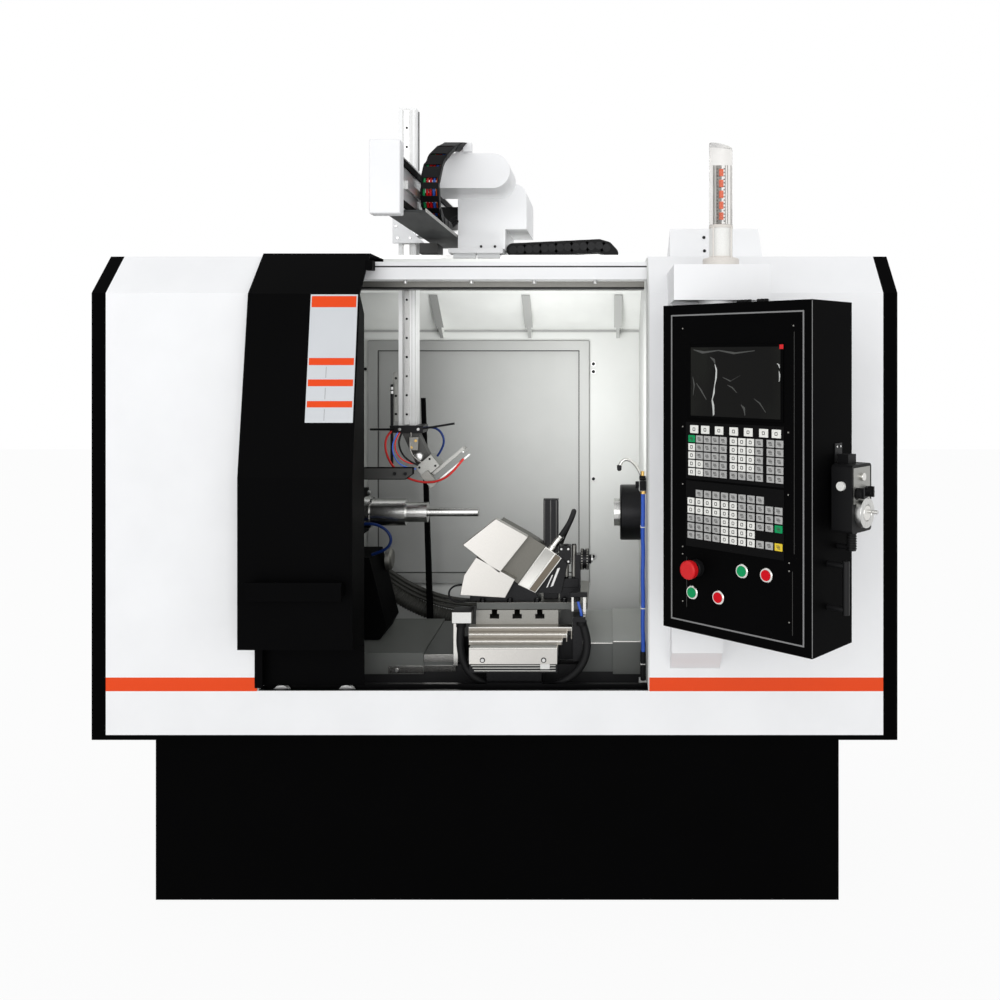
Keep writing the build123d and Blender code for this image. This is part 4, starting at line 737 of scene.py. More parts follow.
class LATHE_OT_tool(bpy.types.Operator):
    """Build the tool block in its separate metals and finish the slides"""

    bl_idname = "lathe.tool"
    bl_label = "Tool and slides"

    def execute(self, context):
        coat_nodes("oxide", "saddle", "roller_bracket", "forming_roller")
        coat_nodes("saddle_grey", "saddle_covers")
        coat_nodes("leaf", "step_cover_low", "step_cover_high", "step_cover_rear")
        coat_nodes("grey_steel", "slot_table")
        self.tool_block()
        self.table()
        self.leaves()
        self.ways()
        return {"FINISHED"}

    def tool_block(self):
        """Bright front plates, tilted body, side bar, wedge, black post and its nipple."""
        slide = "cross_slide"
        front, seat, rear = (-318, -290), (-290, -240), (-296, -240)
        upper = [(-14, 922), (68, 876), (-5, 784), (-98, 856)]
        # The bright finish carries painted shade, darker towards +X.
        plate("upper_tool_plate", upper, front, "bright", slide, stands_for=("tool_block",))
        lower = [(-64, 824), (35, 768), (10, 721), (-105, 728), (-95, 778)]
        plate("lower_tool_plate", lower, front, "bright", slide)
        body = [(-2, 915), (68, 876), (112, 848), (40, 750), (-5, 784), (-78, 840)]
        plate("tool_body", body, seat, "body_steel", slide)
        foot = [(-58, 800), (40, 750), (86, 728), (100, 706), (-84, 706), (-84, 730)]
        plate("tool_pedestal", foot, seat, "oxide", slide)
        plate("tool_side_bar", [(112, 848), (154, 818), (86, 728), (40, 750)], rear, "mirror", slide)
        face = [(112, 844), (134, 829), (67, 739), (44, 750.5)]
        # The bar face is lighter towards its lower end as a painted highlight.
        plate("side_bar_face", face, (-297, -296), "bar_face", slide, 0.5)
        flank = [(138, 828), (151, 818.5), (85, 730.5), (70, 737.5)]
        plate("side_bar_flank", flank, (-297, -296), "brown_steel", slide, 0.5)
        boxes("tool_post", [((104, 143), (-262, -240), (706, 965))], "oxide", slide)
        # Lighter lines on the black post: painted highlights of its gloss.
        ribs = [((x - 1.5, x + 1.5), (-263.5, -262), (850, 962)) for x in (107, 123, 138)]
        boxes("post_highlight_lines", ribs, "dark_grey", slide, 0.4)
        plate("tool_wedge", [(155, 817), (168, 800), (152, 724), (88, 727)], (-288, -244), "oxide", slide)
        wide_slot = [(142, 790), (149, 792), (131, 745), (124, 742)]
        narrow_slot = [(127, 772), (131, 774), (117, 742), (113, 740)]
        for number, slot in enumerate((wide_slot, narrow_slot)):
            plate(f"wedge_slot_{number}", slot, (-289, -288), "steel", slide, 0.2)
        base, lean = Vector((126, -265, 838)), Vector((41, 0, 55))
        bm = bmesh.new()
        nipple = ((0, 11), (8, 11), (9, 9), (30, 9), (31, 8), (34, 8), (36, 9), (40, 9))
        lathe_turn(bm, "Z", (0, 0), nipple)
        bm.transform(Matrix.Translation(base * MM) @ lean.to_track_quat("Z", "Y").to_matrix().to_4x4())
        finish_piece("tool_nipple", bm, "mirror", slide, 0)
        hose = [
            (148, -265, 868), (160, -265, 884), (172, -264, 903), (180, -255, 920), (183, -238, 930),
            (182, -218, 926), (177, -202, 910), (167, -196, 886), (152, -195, 854), (138, -195, 814),
            (130, -195, 770), (126, -195, 736), (125, -195, 706),
        ]
        free_hose("nipple_hose", hose, 14, "rubber", slide)
        loop = [
            (-100, -305, 752), (-118, -312, 752), (-132, -318, 742), (-134, -320, 726), (-122, -318, 712),
            (-102, -310, 708), (-84, -300, 712),
        ]
        free_hose("sensor_cable", loop, 5, "rubber", slide)

    def table(self):
        """Tool plate with its dark front, bolts, and the forming roller's motor, rods and teeth."""
        slide = "cross_slide"
        boxes("tool_plate", [((-64, 220), (-305, -50), (688, 706))], "grey_steel", slide)
        boxes("tool_plate_front", [((-64, 220), (-305.8, -305), (689, 705))], "plate_grey", slide, 0.3)
        spots = [(x, -298) for x in (-50, 20, 90, 160)]
        rods("tool_bolts", "Z", spots, (706, 714), 7, "oxide", slide)
        rods("bolt_sockets", "Z", spots, (713, 714.4), 3, "steel", slide)
        roller_y, roller_z = -262, 809
        rods("roller_rods", "Z", [(x, roller_y) for x in (164, 184)], (764, 846), 6.6, "grey_steel", slide)
        motor = [((146, 176), (-284, -247), (800, 846)), ((152, 196), (-280, -246), (738, 762))]
        boxes("roller_motor", motor, "oxide", slide, 1.2)
        spots = [(z, x) for z in (807, 839) for x in (152, 170)]
        rods("motor_screws", "Y", spots, (-286, -284), 3, "steel", slide)
        half, root, tip, count = 1.6, 25, 28, 24
        bm = bmesh.new()
        for i in range(count):
            across, up = cos(FULL_TURN * i / count), sin(FULL_TURN * i / count)
            tooth = []
            for side, out in ((-half, root), (half, root), (half, tip), (-half, tip)):
                tooth.append((roller_y + side * across - out * up, roller_z + side * up + out * across))
            for x in (203, 217):
                prism(bm, tooth, "X", (x, x + 4))
        finish_piece("roller_teeth", bm, "grey_steel", "forming_roller", 0.3)
        rods("roller_nut", "X", [(roller_y, roller_z)], (229, 233), 9, "steel", slide)

    def leaves(self):
        """Bright edges and ends of the telescopic cover, and its front plate."""
        for number, body in enumerate(("saddle", "step_cover_low", "step_cover_high", "cross_slide")):
            left, right = -68 - 4 * number, 148 + 11 * number
            front, top = -420 + 27 * number, 622 + 10 * number
            trims = [
                ((left, right), (front - 0.6, front + 2), (top - 3, top + 0.1)),
                ((right - 2, right + 0.2), (front, front + 26), (top - 9.5, top + 0.1)),
            ]
            boxes(f"leaf_trim_{number}", trims, "mirror", body, 0.2)
        # The bright finish paints shade here too, darker towards +X.
        boxes("front_leaf_plate", [((-68, 148), (-421.5, -420), (583, 619))], "bright", "saddle", 0.4)
        folds = [((-64 + 4 * i, 144), (-417, -415), (577 - 6.5 * i, 580 - 6.5 * i)) for i in range(3)]
        boxes("leaf_folds", folds, "plate", "saddle", 0.3)
        spots = [(593, x) for x in (-35, 115)]
        rods("front_leaf_rings", "Y", spots, (-422.5, -421), 6.5, "oxide", "saddle")
        rods("front_leaf_screws", "Y", spots, (-424, -421), 4.6, "steel", "saddle")
        boxes("leaf_bracket", [((106, 130), (-420, -409), (570, 583))], "steel", "saddle", 0.6)

    def ways(self):
        """Bright strips on the way covers, and the hose ends on the saddle's brackets."""
        strips = [((-199, -119), (-306, -304.5), z) for z in ((554, 573), (529, 545))]
        strips.append(((-118, -107), (-343.5, -342), (556, 666)))
        strips.append(((198, 284), (-306, -303), (600.5, 603)))
        boxes("saddle_strips", strips, "mirror", "saddle", 0.3)
        strips = [((-290, -201), (-311, -310), (526, 545)), ((286, 368), (-311, -308), (606, 608.4))]
        boxes("bed_strips", strips, "mirror", edge=0.3)
        rods("bed_strip_screw", "Y", [(534, -268)], (-313, -311), 5, "steel")
        boxes("saddle_bracket_plate", [((-118, -70), (-367, -366), (669, 696))], "ivory", "saddle", 0.4)
        bm = bmesh.new()
        rod(bm, "Z", (206, -352), (660, 672), 13)
        rod(bm, "Z", (-97, -352), (656, 668), 13)
        finish_piece("hose_collars", bm, "plastic", "saddle", 0)
        guard = [((209, 217), (-341, -338), (684, 736)), ((180, 186), (-341, -338), (692, 736))]
        boxes("hose_guard", guard, "mirror", "saddle", 0.6)
        boxes("guard_bar", [((177, 220), (-347, -336), (729, 741))], "oxide", "saddle")
        fitting = rods("stub_fitting", "Z", [(196, -346)], (719, 730), 5.5, "plastic", "saddle")
        stub = [(206, -352, 680), (205, -352, 694), (199, -350, 709), (196, -346, 724)]
        free_hose("hose_stub", stub, 7, "blue", "saddle", (), "medium", fitting)


class LATHE_OT_loader(bpy.types.Operator):
    """Cover the roof loader, link its cable chains and dress the beam, ram and gripper"""

    bl_idname = "lathe.loader"
    bl_label = "Roof loader"

    def execute(self, context):
        coat_nodes("white", "loader_covers")
        coat_nodes("carriage", "loader_carriage")
        # The ram's finish is painted darker towards its lower end as shade in the chamber.
        coat_nodes("ram_alloy", "ram")
        coat_nodes("plate", "jaw_front", "jaw_rear")
        # Dark grey plate under the tray: its dark tone is partly painted shade beneath the tray and carriage.
        plate_in_shade = [((-232, -184), (-196, -100), (1613, 1641))]
        boxes("carriage_plate_in_shade", plate_in_shade, "dark_grey", "loader_carriage")
        self.roof_chain()
        self.loop_chain()
        self.beam()
        self.gripper()
        spots = [(1631, x) for x in (-66, -29)]
        rods("cover_bolts", "Y", spots, (-203, -200), 3.5, "oxide", "loader_carriage")
        height = (1152, 2010)
        boxes("ram_rail", [((-283, -267), (-148, -143), height)], "steel", "ram")
        rods("ram_bolts", "Y", [(z, -275) for z in range(1180, 2000, 52)], (-149, -148), 3.2, "oxide", "ram")
        grooves = [((x, x + 1), (-145.5, -145), height) for x in (-262, -253, -287)]
        boxes("ram_grooves", grooves, "plate", "ram", 0)
        rods("ram_cable", "Z", [(-248.6, -112)], (1850, 2012), 1.3, "rubber", "ram")
        return {"FINISHED"}

    def beam(self):
        """Cross beam in its metals: profile, rails, tray, end cover, ram guide and its bracket."""
        beam = "cross_beam"
        boxes("beam_profile", [((-225, -185), (-660, 120), (1660, 1784))], "alloy", beam, 1, ("cross_beam",))
        rails = [((-185, -181), (-655, 115), (z - 8, z + 8)) for z in (1676, 1768)]
        boxes("beam_rails", rails, "black", beam, 0.6)
        boxes("beam_guide_rail", [((-185, -178), (-620, 120), (1712, 1732))], "steel", beam)
        # The tray's very dark grey is partly painted shade under the beam.
        boxes("beam_tray", [((-225, -130), (-660, 60), (1655, 1660))], "shade_grey", beam, 0.6)
        boxes("tray_edge", [((-131.5, -129.8), (-660, 60), (1655, 1663))], "plate", beam, 0.4)
        boxes("beam_end_cover", [((-247, -179), (-700, -660), (1646, 1808))], "white", beam, 3)
        height = (1665, 1775)
        walls = [(x, (-157, -83), height) for x in ((-310, -298.4), (-249.6, -225))]
        walls += [((-298.4, -249.6), y, height) for y in ((-157, -145.4), (-94.6, -83))]
        boxes("ram_guide", walls, "alloy", beam, 0.6)
        outline = [(-310, 1722), (-310, 1644), (-224, 1644)]
        plate("guide_bracket", outline, (-167, -157), "white", beam, 1)
        spots = [(1658, -296), (1658, -262), (1690, -300)]
        rods("guide_bracket_screws", "Y", spots, (-168.5, -167), 4, "steel", beam)

    def leaning(self, along, below):
        """Point of the tilted gripper, at a distance along its jaws and one below them."""
        across, up = cos(GRIPPER_TILT), sin(GRIPPER_TILT)
        return (-215 + along * across + below * up, 1040 + along * up - below * across)

    def leaning_box(self, along, below):
        """Rectangle on the tilted gripper."""
        (start, end), (top, foot) = along, below
        return [self.leaning(*corner) for corner in ((start, top), (end, top), (end, foot), (start, foot))]

    def gripper(self):
        """Clamp, arm, tilted block, rods and the small cylinder under the ram."""
        clamp = [((-305, -229), (-158, -82), (1130, 1150)), ((-320, -305), (-156, -144), (1130, 1150))]
        boxes("gripper_clamp", clamp, "oxide", "ram", stands_for=("gripper",))
        rods("clamp_screws", "Y", [(1140, -292), (1140, -242)], (-160, -158), 4, "steel", "ram")
        arm = [(-288, 1130), (-244, 1130), (-206, 1052), (-244, 1034)]
        plate("gripper_arm", arm, (-150, -110), "dark_grey", "ram")
        plate("gripper_block", self.leaning_box((-28, 28), (-20, 20)), (-170, -100), "plate", "ram", 1)
        plate("blow_plate", self.leaning_box((-28, -4), (8, 52)), (-184, -170), "grey_steel", "ram", 0.6)
        plate("blow_rod", self.leaning_box((-4, 112), (45, 51)), (-183, -177), "steel", "ram")
        spots = [self.leaning(along, below)[::-1] for along in (-18, 18) for below in (-12, 12)]
        rods("gripper_screws", "Y", spots, (-171.5, -170), 3, "oxide", "ram")
        stop = (-315, -150)
        bm = bmesh.new()
        rod(bm, "Z", stop, (1045, 1262), 4)
        rod(bm, "X", (-161, 1140), (-372, -305), 3)
        finish_piece("stop_rods", bm, "oxide", "ram", 0)
        line = [(-229, -161, 1142), (-186, -161, 1149), (-143, -161, 1156)]
        curve_piece("stop_rod_right", line, 6, "oxide", "ram")
        for number, low in enumerate((1236, 1247)):
            rods(f"stop_nut_{number}", "Z", [stop], (low, low + 8), 5.2, "steel", "ram")
        boxes("sensor_strip", [((-317, -298.5), (-132, -128), (1160, 1295))], "plate", "ram", 0.5)
        spots = [(z, -308) for z in (1180, 1230, 1278)]
        rods("strip_holes", "Y", spots, (-132.6, -132), 3.4, "oxide", "ram")
        boxes("valve_body", [((-264, -240), (-172, -150), (1084, 1120))], "grey_steel", "ram", 1)
        rods("valve_button", "Y", [(1092, -258), (1110, -246)], (-174, -172), 4, "brass", "ram")
        cylinder = ((-150, 13), (-166, 13), (-168, 11), (-172, 11), (-173, 9))
        spun("small_cylinder", "Y", (1066, -240), cylinder, "steel", "ram")
        rods("jaw_rod", "Y", [(1080, -118)], (-172, -98), 3, "steel", "ram")

    def walk(self, line, pitch):
        """Evenly spaced points along a line."""
        line = [Vector(point) for point in line]
        lengths = [(b - a).length for a, b in zip(line, line[1:])]
        count = round(sum(lengths) / pitch)
        step = sum(lengths) / count
        spots, start = [], 0
        for a, b, length in zip(line, line[1:], lengths):
            while len(spots) <= count and len(spots) * step <= start + length + 0.001:
                spots.append(a.lerp(b, (len(spots) * step - start) / length))
            start += length
        return spots

    def links(self, name, spots, axis, span, half, open_links=(), sway=None, stands_for=()):
        """Chain of overlapping side plates with round marks and cross bars, which are short on open links."""
        thick, bar, steps = 3, 1.2, 16
        plates, bars, marks = bmesh.new(), bmesh.new(), bmesh.new()
        for number, (a, b) in enumerate(zip(spots, spots[1:])):
            step = b - a
            angle = atan2(step.y, step.x)
            outline = arc(b, half, angle - pi / 2, pi, steps) + arc(a, half, angle + pi / 2, pi, steps)
            inset = 1.6 if number % 2 else 0
            near, far = span[0] + inset, span[1] - inset
            for ends in ((near, near + thick), (far - thick, far)):
                prism(plates, outline, axis, ends)
            for start in (span[0] - 0.6, span[1] - 0.4):
                prism(marks, circle(a, half * 0.6, steps), axis, (start, start + 1))
            middle, forward = (a + b) / 2, step.normalized()
            up = Vector((-forward.y, forward.x))
            reach = step.length * (0.26 if number in open_links else 0.47)
            for low in (-half, half - 2 * bar):
                high = low + 2 * bar
                corners = ((-reach, low), (reach, low), (reach, high), (-reach, high))
                outline = [middle + forward * ahead + up * height for ahead, height in corners]
                prism(bars, outline, axis, (span[0] + thick, span[1] - thick))
        if sway:
            for bm in (plates, bars, marks):
                for vert in bm.verts:
                    vert.co = sway(vert.co)
        finish_piece(name + "_plates", plates, "plastic", "loader_carriage", 0.4, stands_for)
        finish_piece(name + "_bars", bars, "plastic", "loader_carriage", 0.3)
        finish_piece(name + "_marks", marks, "iron", "loader_carriage", 0.3)

    def roof_chain(self):
        """Chain that lies to the right along the roof and bends down to it."""
        line = [(16, 1626)] + arc((248, 1598), 39, radians(90), radians(-63), 12)
        spots = self.walk(line, sizes().roof_pitch / MM)
        self.links("roof_chain", spots, "Y", (-167, -125), 18, stands_for=("cable_chains",))

    def loop_chain(self):
        """Chain that loops in front of the covers and sways aside with its height, with its cables."""
        low, tall, shift, spread = 1660, 207, -28, 55

        def sway(spot):
            height = (spot.z / MM - low) / tall
            return spot + Vector(((shift + spread * height**4) * MM, 0, 0))

        centre, half_turn = (-385, 1764), (pi / 2, pi)
        line = [(-386, 1856.5)] + arc(centre, 92.5, *half_turn, 24)[1:] + [(-261, 1671.5)]
        spots = self.walk(line, sizes().loop_pitch / MM)
        self.links("loop_chain", spots, "X", (-149.5, -104.5), 11, (5, 6, 7), sway)
        boxes("chain_end", [((-88, -66), (-386, -371), (1846, 1868))], "white", "loader_carriage", 0.6)
        route = [(-385, 1858)] + arc(centre, 94, *half_turn, 6)[1:] + [(-262, 1670)]
        cables = ((-143, "green"), (-135, "red"), (-127, "red"), (-119, "blue"), (-111, "lamp_orange"))
        for x, finish in cables:
            points = [sway(Vector((x, y, z)) * MM) / MM for y, z in route]
            curve_piece(f"chain_cable_{-x}", points, 6.5, finish, "loader_carriage")
        for number, x in enumerate((-172, -164, -156, -148)):
            tail = [(x, -262, 1671), (x + 2, -232, 1674), (x + 10, -208, 1686), (x + 22, -194, 1702)]
            tail.append((-124, -188, 1716))
            free_hose(f"chain_tail_{number}", tail, 8, "rubber", "loader_carriage")


class LATHE_OT_hoses(bpy.types.Operator):
    """Lay the air, coolant and drain hoses along their routes"""

    bl_idname = "lathe.hoses"
    bl_label = "Hoses"

    def execute(self, context):
        self.chamber()
        self.tool()
        self.gripper()
        return {"FINISHED"}

    def chamber(self):
        """Air loop under the spindle, drain hose and its lines, hoses and nozzle on the right wall."""
        air_loop = [
            (-399, -172, 884), (-372, -176, 888), (-345, -180, 884), (-321, -182, 870), (-309, -182, 848),
            (-316, -180, 826), (-337, -176, 812), (-364, -172, 803),
        ]
        free_hose("air_loop_hose", air_loop, 8, "dark_blue", "machine_frame", ("machine_hoses",))
        drain = [
            (-567, 124, 742), (-500, 122, 722), (-438, 121, 684), (-380, 121, 640), (-318, 122, 600),
            (-248, 124, 570), (-178, 130, 552), (-112, 146, 545), (-52, 172, 552), (2, 204, 572),
            (40, 230, 592),
        ]
        ribbed_hose("drain_hose", drain, 46, "hose_grey")
        for number, lift in enumerate((31, 44, 57)):
            above = [(x, y, z + lift) for x, y, z in drain]
            free_hose(f"drain_line_{number}", above, 12, "hose_grey", "machine_frame", (), "medium")
        boots = bmesh.new()
        for number, y in enumerate(WALL_HOSES):
            wall = [
                (361, y, 998), (362, y + 1, 950), (360, y - 2, 895), (362, y + 2, 838), (360, y - 1, 780),
                (362, y + 2, 722), (360, y - 2, 664), (362, y + 1, 606), (360, y - 1, 560), (361, y, 520),
            ]
            free_hose(f"wall_hose_{number}", wall, 10, "blue", "machine_frame", (), "medium")
            ribs = [(520 + 5 * i, 6.2 + 0.7 * (i % 2)) for i in range(14)]
            lathe_turn(boots, "Z", (361, y), ribs + [(592, 5.6)])
        finish_piece("hose_boots", boots, "rubber", edge=0)
        nozzle = [
            (369, -176, 1006), (359, -177, 1026), (349, -178, 1043), (336, -179, 1057), (320, -180, 1062),
            (308, -181, 1054), (303, -181, 1041),
        ]
        curve_piece("coolant_nozzle", nozzle, 9, "mirror")

    def tool(self):
        """Hoses from the saddle down into the tray."""
        left = [
            (-97, -352, 668), (-100, -353, 634), (-98, -356, 598), (-87, -362, 562), (-62, -369, 533),
            (-28, -374, 517),
        ]
        free_hose("tool_hose_left", left, 20, "rubber", "saddle", ("tool_hoses",))
        right = [
            (206, -352, 672), (217, -353, 642), (221, -356, 608), (214, -361, 574), (194, -366, 546),
            (164, -371, 526), (136, -374, 515), (108, -375, 510),
        ]
        free_hose("tool_hose_right", right, 20, "rubber", "saddle")

    def gripper(self):
        """Hoses, cables and wires at the gripper."""
        red_air = [
            (-305, -146, 1142), (-322, -158, 1131), (-330, -170, 1106), (-324, -180, 1074),
            (-305, -188, 1042), (-274, -193, 1016), (-236, -195, 1002), (-196, -196, 1000),
            (-162, -197, 1012), (-138, -197, 1034), (-124, -194, 1052), (-116, -184, 1062),
        ]
        free_hose("ram_hose_red", red_air, 6, "air_red", "ram", ("ram_hoses",))
        blue_air = [
            (-229, -150, 1143), (-204, -152, 1147), (-182, -153, 1135), (-172, -152, 1112),
            (-177, -150, 1088), (-192, -148, 1066),
        ]
        free_hose("ram_hose_blue", blue_air, 6, "dark_blue", "ram")
        black_cable = [
            (-286, -157, 1131), (-293, -166, 1114), (-290, -173, 1090), (-276, -176, 1066),
            (-254, -174, 1050), (-236, -166, 1042),
        ]
        free_hose("ram_cable_black", black_cable, 5, "rubber", "ram")
        pale_cable = [
            (-262, -157, 1131), (-258, -168, 1114), (-262, -178, 1092), (-252, -182, 1070),
            (-236, -178, 1056), (-224, -168, 1048),
        ]
        free_hose("ram_cable_pale", pale_cable, 2.5, "grey_plate", "ram")
        red_wire = [
            (-292, -157, 1131), (-303, -166, 1112), (-302, -173, 1086), (-288, -177, 1064),
            (-266, -176, 1050), (-244, -168, 1046),
        ]
        free_hose("ram_wire_red", red_wire, 3, "red", "ram")
        blue_wire = [
            (-298, -157, 1131), (-309, -166, 1110), (-309, -173, 1080), (-296, -178, 1054),
            (-272, -178, 1038), (-246, -170, 1034),
        ]
        free_hose("ram_wire_blue", blue_wire, 3, "blue", "ram")


class LATHE_OT_pendant(bpy.types.Operator):
    """Build the pendant's front: plate, line, screen, keys and buttons"""

    bl_idname = "lathe.pendant"
    bl_label = "Pendant"

    def execute(self, context):
        coat_nodes("crinkle", "pendant_box")
        coat_nodes("handle", "pendant_handle")
        coat_nodes("red", "stop_button")
        coat_nodes("button_red", "red_button_upper", "red_button_lower")
        coat_nodes("button_green", "green_button_upper", "green_button_lower")
        self.front()
        self.screen()
        films = [((63, 308), (-1.2, 0), z) for z in ((329, 451), (184, 325))]
        boxes("keypad_films", films, "keypad", "pendant", 0.4)
        self.keys()
        self.buttons()
        return {"FINISHED"}

    def front(self):
        """Front plate with its printed line, seams, a painted highlight along its front edge and the caps on
        its top.
        """
        front = [((3, 369), (0, 3), (3, 700))]
        boxes("front_panel", front, "crinkle", "pendant", 0.5, ("control_panels",))
        low, high, left, right, line = 20, 682, 22, 354, 3
        proud = (-0.8, 0)
        frame_line = [((left, right), proud, z) for z in ((low, low + line), (high - line, high))]
        for x in ((left, left + line), (right - line, right)):
            frame_line.append((x, proud, (low + line, high - line)))
        boxes("panel_line", frame_line, "line_grey", "pendant", 0)
        heights = {331: (200, 640), 64: (52, 160), 327: (38, 165)}
        seams = [((x, x + 1), (-0.5, 0), z) for x, z in heights.items()]
        boxes("panel_seams", seams, "dark_grey", "pendant", 0)
        # Light grey strip along the front edge: a painted highlight.
        boxes("front_edge_highlight", [((371.2, 372.2), (-0.2, 0.8), (2, 701))], "line_grey", "pendant", 0)
        caps = [((x, x + 6), (8, 16), (703, 709)) for x in (188, 197, 206, 215, 238, 247, 256)]
        boxes("gland_caps", caps, "plastic", "pendant")

    def buttons(self):
        """Bezels of the buttons, collar of the stop button and the panel's screws."""
        bezel = ((0, 11.3), (0, 14.8), (-3.5, 14.8), (-5, 13.4), (-5, 11.3))
        stop = (141, 96)
        bm = bmesh.new()
        for centre in ((149.5, 209), (149.5, 268), (86, 81), (86, 149.5), stop):
            lathe_turn(bm, "Y", centre, bezel, ring=True)
        finish_piece("button_bezels", bm, "mirror", "pendant", 0)
        collar = ((-5, 11.3), (-5, 19), (-16, 17), (-18, 15), (-18, 11.3))
        spun("stop_collar", "Y", stop, collar, "plastic", "pendant", ring=True)
        spots = [(652, 54), (652, 330), (440, 54), (440, 318), (316, 54), (316, 318)]
        spots += [(z, x) for x in (54, 320) for z in (181, 165, 63)]
        rods("panel_screws", "Y", spots, (-1.6, 0), 1.7, "grey_steel", "pendant")

    def screen(self):
        """Dark screen in its rim, with the tab of its film and its creases as raised lines in painted
        highlights.
        """
        rim = [(x, (-2.5, 0), (459, 617)) for x in ((70, 76), (301, 307))]
        rim += [((76, 301), (-2.5, 0), z) for z in ((459, 465), (611, 617))]
        boxes("screen_rim", rim, "crinkle", "pendant", 0.5)
        boxes("screen", [((76, 301), (-1.5, 0), (465, 611))], "screen", "pendant", 0)
        fork = (133, 500, 1.2)
        creases = (
            ((140, 575, 0.4), (144, 563, 1.6), (143, 545, 2.2), (139, 528, 1), (137, 512, 2.4), fork),
            (fork, (136, 487, 2.2), (137, 468, 1.8)),
            ((297, 562, 0.3), (299, 553, 1.6), (298, 541, 0.8)),
            ((293, 577, 0.4), (297, 574, 1.2), (299, 568, 0.5)),
        )
        self.creases("film_crease_highlights", creases, "film")
        faint = (
            ((84, 606, 0.5), (110, 600, 2.5), (150, 604, 1), (190, 598, 2), (240, 603, 0.8)),
            ((128, 590, 0.4), (138, 584, 2), (141, 575, 0.5)),
            ((92, 534, 0.4), (104, 520, 1.2), (118, 500, 0.5)),
            ((160, 548, 0.4), (180, 540, 1), (204, 552, 0.4)),
            ((172, 532, 0.4), (184, 527, 1), (196, 516, 0.4)),
            ((206, 492, 0.5), (214, 484, 2), (216, 470, 0.6)),
            ((82, 548, 0.4), (86, 530, 1.5), (83, 508, 0.4)),
            ((238, 505, 0.3), (252, 496, 1), (266, 478, 0.4)),
        )
        self.creases("faint_crease_highlights", faint, "film_faint")
        boxes("film_tab", [((299, 308), (-3, -2.4), (606, 615))], "red", "pendant", 0.2)

    def creases(self, name, lines, finish):
        """Raised lines of film, lighter than the screen as painted highlights, through points that hold x, z
        and half the line's width.
        """
        bm = bmesh.new()
        for line in lines:
            right = [(x + half, z + half) for x, z, half in line]
            left = [(x - half, z - half) for x, z, half in reversed(line)]
            prism(bm, right + left, "Y", (-1.9, -1.5))
        finish_piece(name, bm, finish, "pendant", 0)

    def keys(self):
        """Two fields of keys in their colours, each with a plain mark."""
        meshes = {finish: bmesh.new() for finish in ("key_white", "key_grey", "button_green", "yellow")}
        marks = bmesh.new()
        square = ((-3, 3, 2.2, 3.6), (-3, 3, -3.6, -2.2), (-3.4, -2, -2.2, 2.2), (2, 3.4, -2.2, 2.2))
        bars = ((-4.5, 3, 2, 3.4), (-4.5, 4.5, -0.7, 0.7), (-2, 4.5, -3.6, -2.2))

        def key(finish, x, z, wide=17.5, tall=15):
            box(meshes[finish], (x, x + wide), (-3.4, -1.2), (z - tall, z))
            middle, height = x + wide / 2, z - tall / 2
            for left, right, low, high in square if finish == "key_white" else bars:
                box(marks, (middle + left, middle + right), (-3.6, -3.4), (height + low, height + high))

        for x in (76, 105, 141, 178, 214, 251, 281):
            key("key_white", x, 444.5, 21, 17)
        columns = [71 + 20.5 * i for i in range(5)] + [179 + 21 * i for i in range(4)] + [269, 290]
        for row in range(5):
            for column, x in enumerate(columns):
                finish = "key_grey"
                if column == 0:
                    finish = "button_green" if row == 0 else "key_white"
                if column == 1 and row > 2 or column in (5, 6, 7) and row < 4:
                    finish = "key_white"
                key(finish, x, 423 - row * 17.7)
        bare = {(0, 0), (0, 9), (0, 10), (4, 8), (4, 9), (4, 10)}
        for row in range(6):
            for column in range(11):
                if (row, column) in bare:
                    continue
                finish = "key_white" if row in (1, 2) and column < 6 else "key_grey"
                if row > 2 and 4 <= column < 8:
                    finish = "key_white"
                if column == 10 and row in (3, 5):
                    finish = "button_green" if row == 3 else "yellow"
                key(finish, 69 + 21.9 * column, 307 - row * 18)
        for finish, bm in meshes.items():
            finish_piece("keys_" + finish, bm, finish, "pendant", 0.5)
        finish_piece("key_marks", marks, "dark_grey", "pendant", 0)


class LATHE_OT_pulse_unit(bpy.types.Operator):
    """Finish the hand pulse unit on the pendant's side"""

    bl_idname = "lathe.pulse_unit"
    bl_label = "Hand pulse unit"

    def execute(self, context):
        coat_nodes("plastic", "pulse_unit", "pulse_knob_axis", "pulse_knob_step")
        coat_nodes("steel", "pulse_dial")
        coat_nodes("ivory", "pulse_button")
        boxes("pulse_bracket", [((372, 374), (86, 114), (371, 416))], "handle", "pendant", 0.6)
        rods("pulse_bracket_screws", "X", [(93, 409), (107, 409)], (374, 375.4), 2.4, "steel", "pendant")
        boxes("pulse_face", [((425, 425.4), (66, 134), (300, 371))], "plate", "pendant", 0)
        rods("pulse_face_button", "X", [(100, 352)], (425, 431), 8, "mirror", "pendant")
        rods("knob_rings", "X", [(80, 320), (120, 320)], (425, 425.8), 12, "oxide", "pendant")
        for name, inner, outer, finish in (("cap", 0.5, 15, "mirror"), ("knurl", 16.5, 29, "turned")):
            profile = ((437, inner), (437.8, inner + 0.5), (437.8, outer - 0.8), (437, outer))
            spun("dial_" + name, "X", (100, 281), profile, finish, "pulse_dial")
        bm = bmesh.new()
        for z in range(205, 240, 5):
            lathe_turn(bm, "Z", (402.5, 100), ((z, 9), (z + 0.5, 10.4), (z + 2, 10.4), (z + 2.5, 9)))
        finish_piece("boot_ribs", bm, "rubber", "pendant", 0)
        return {"FINISHED"}


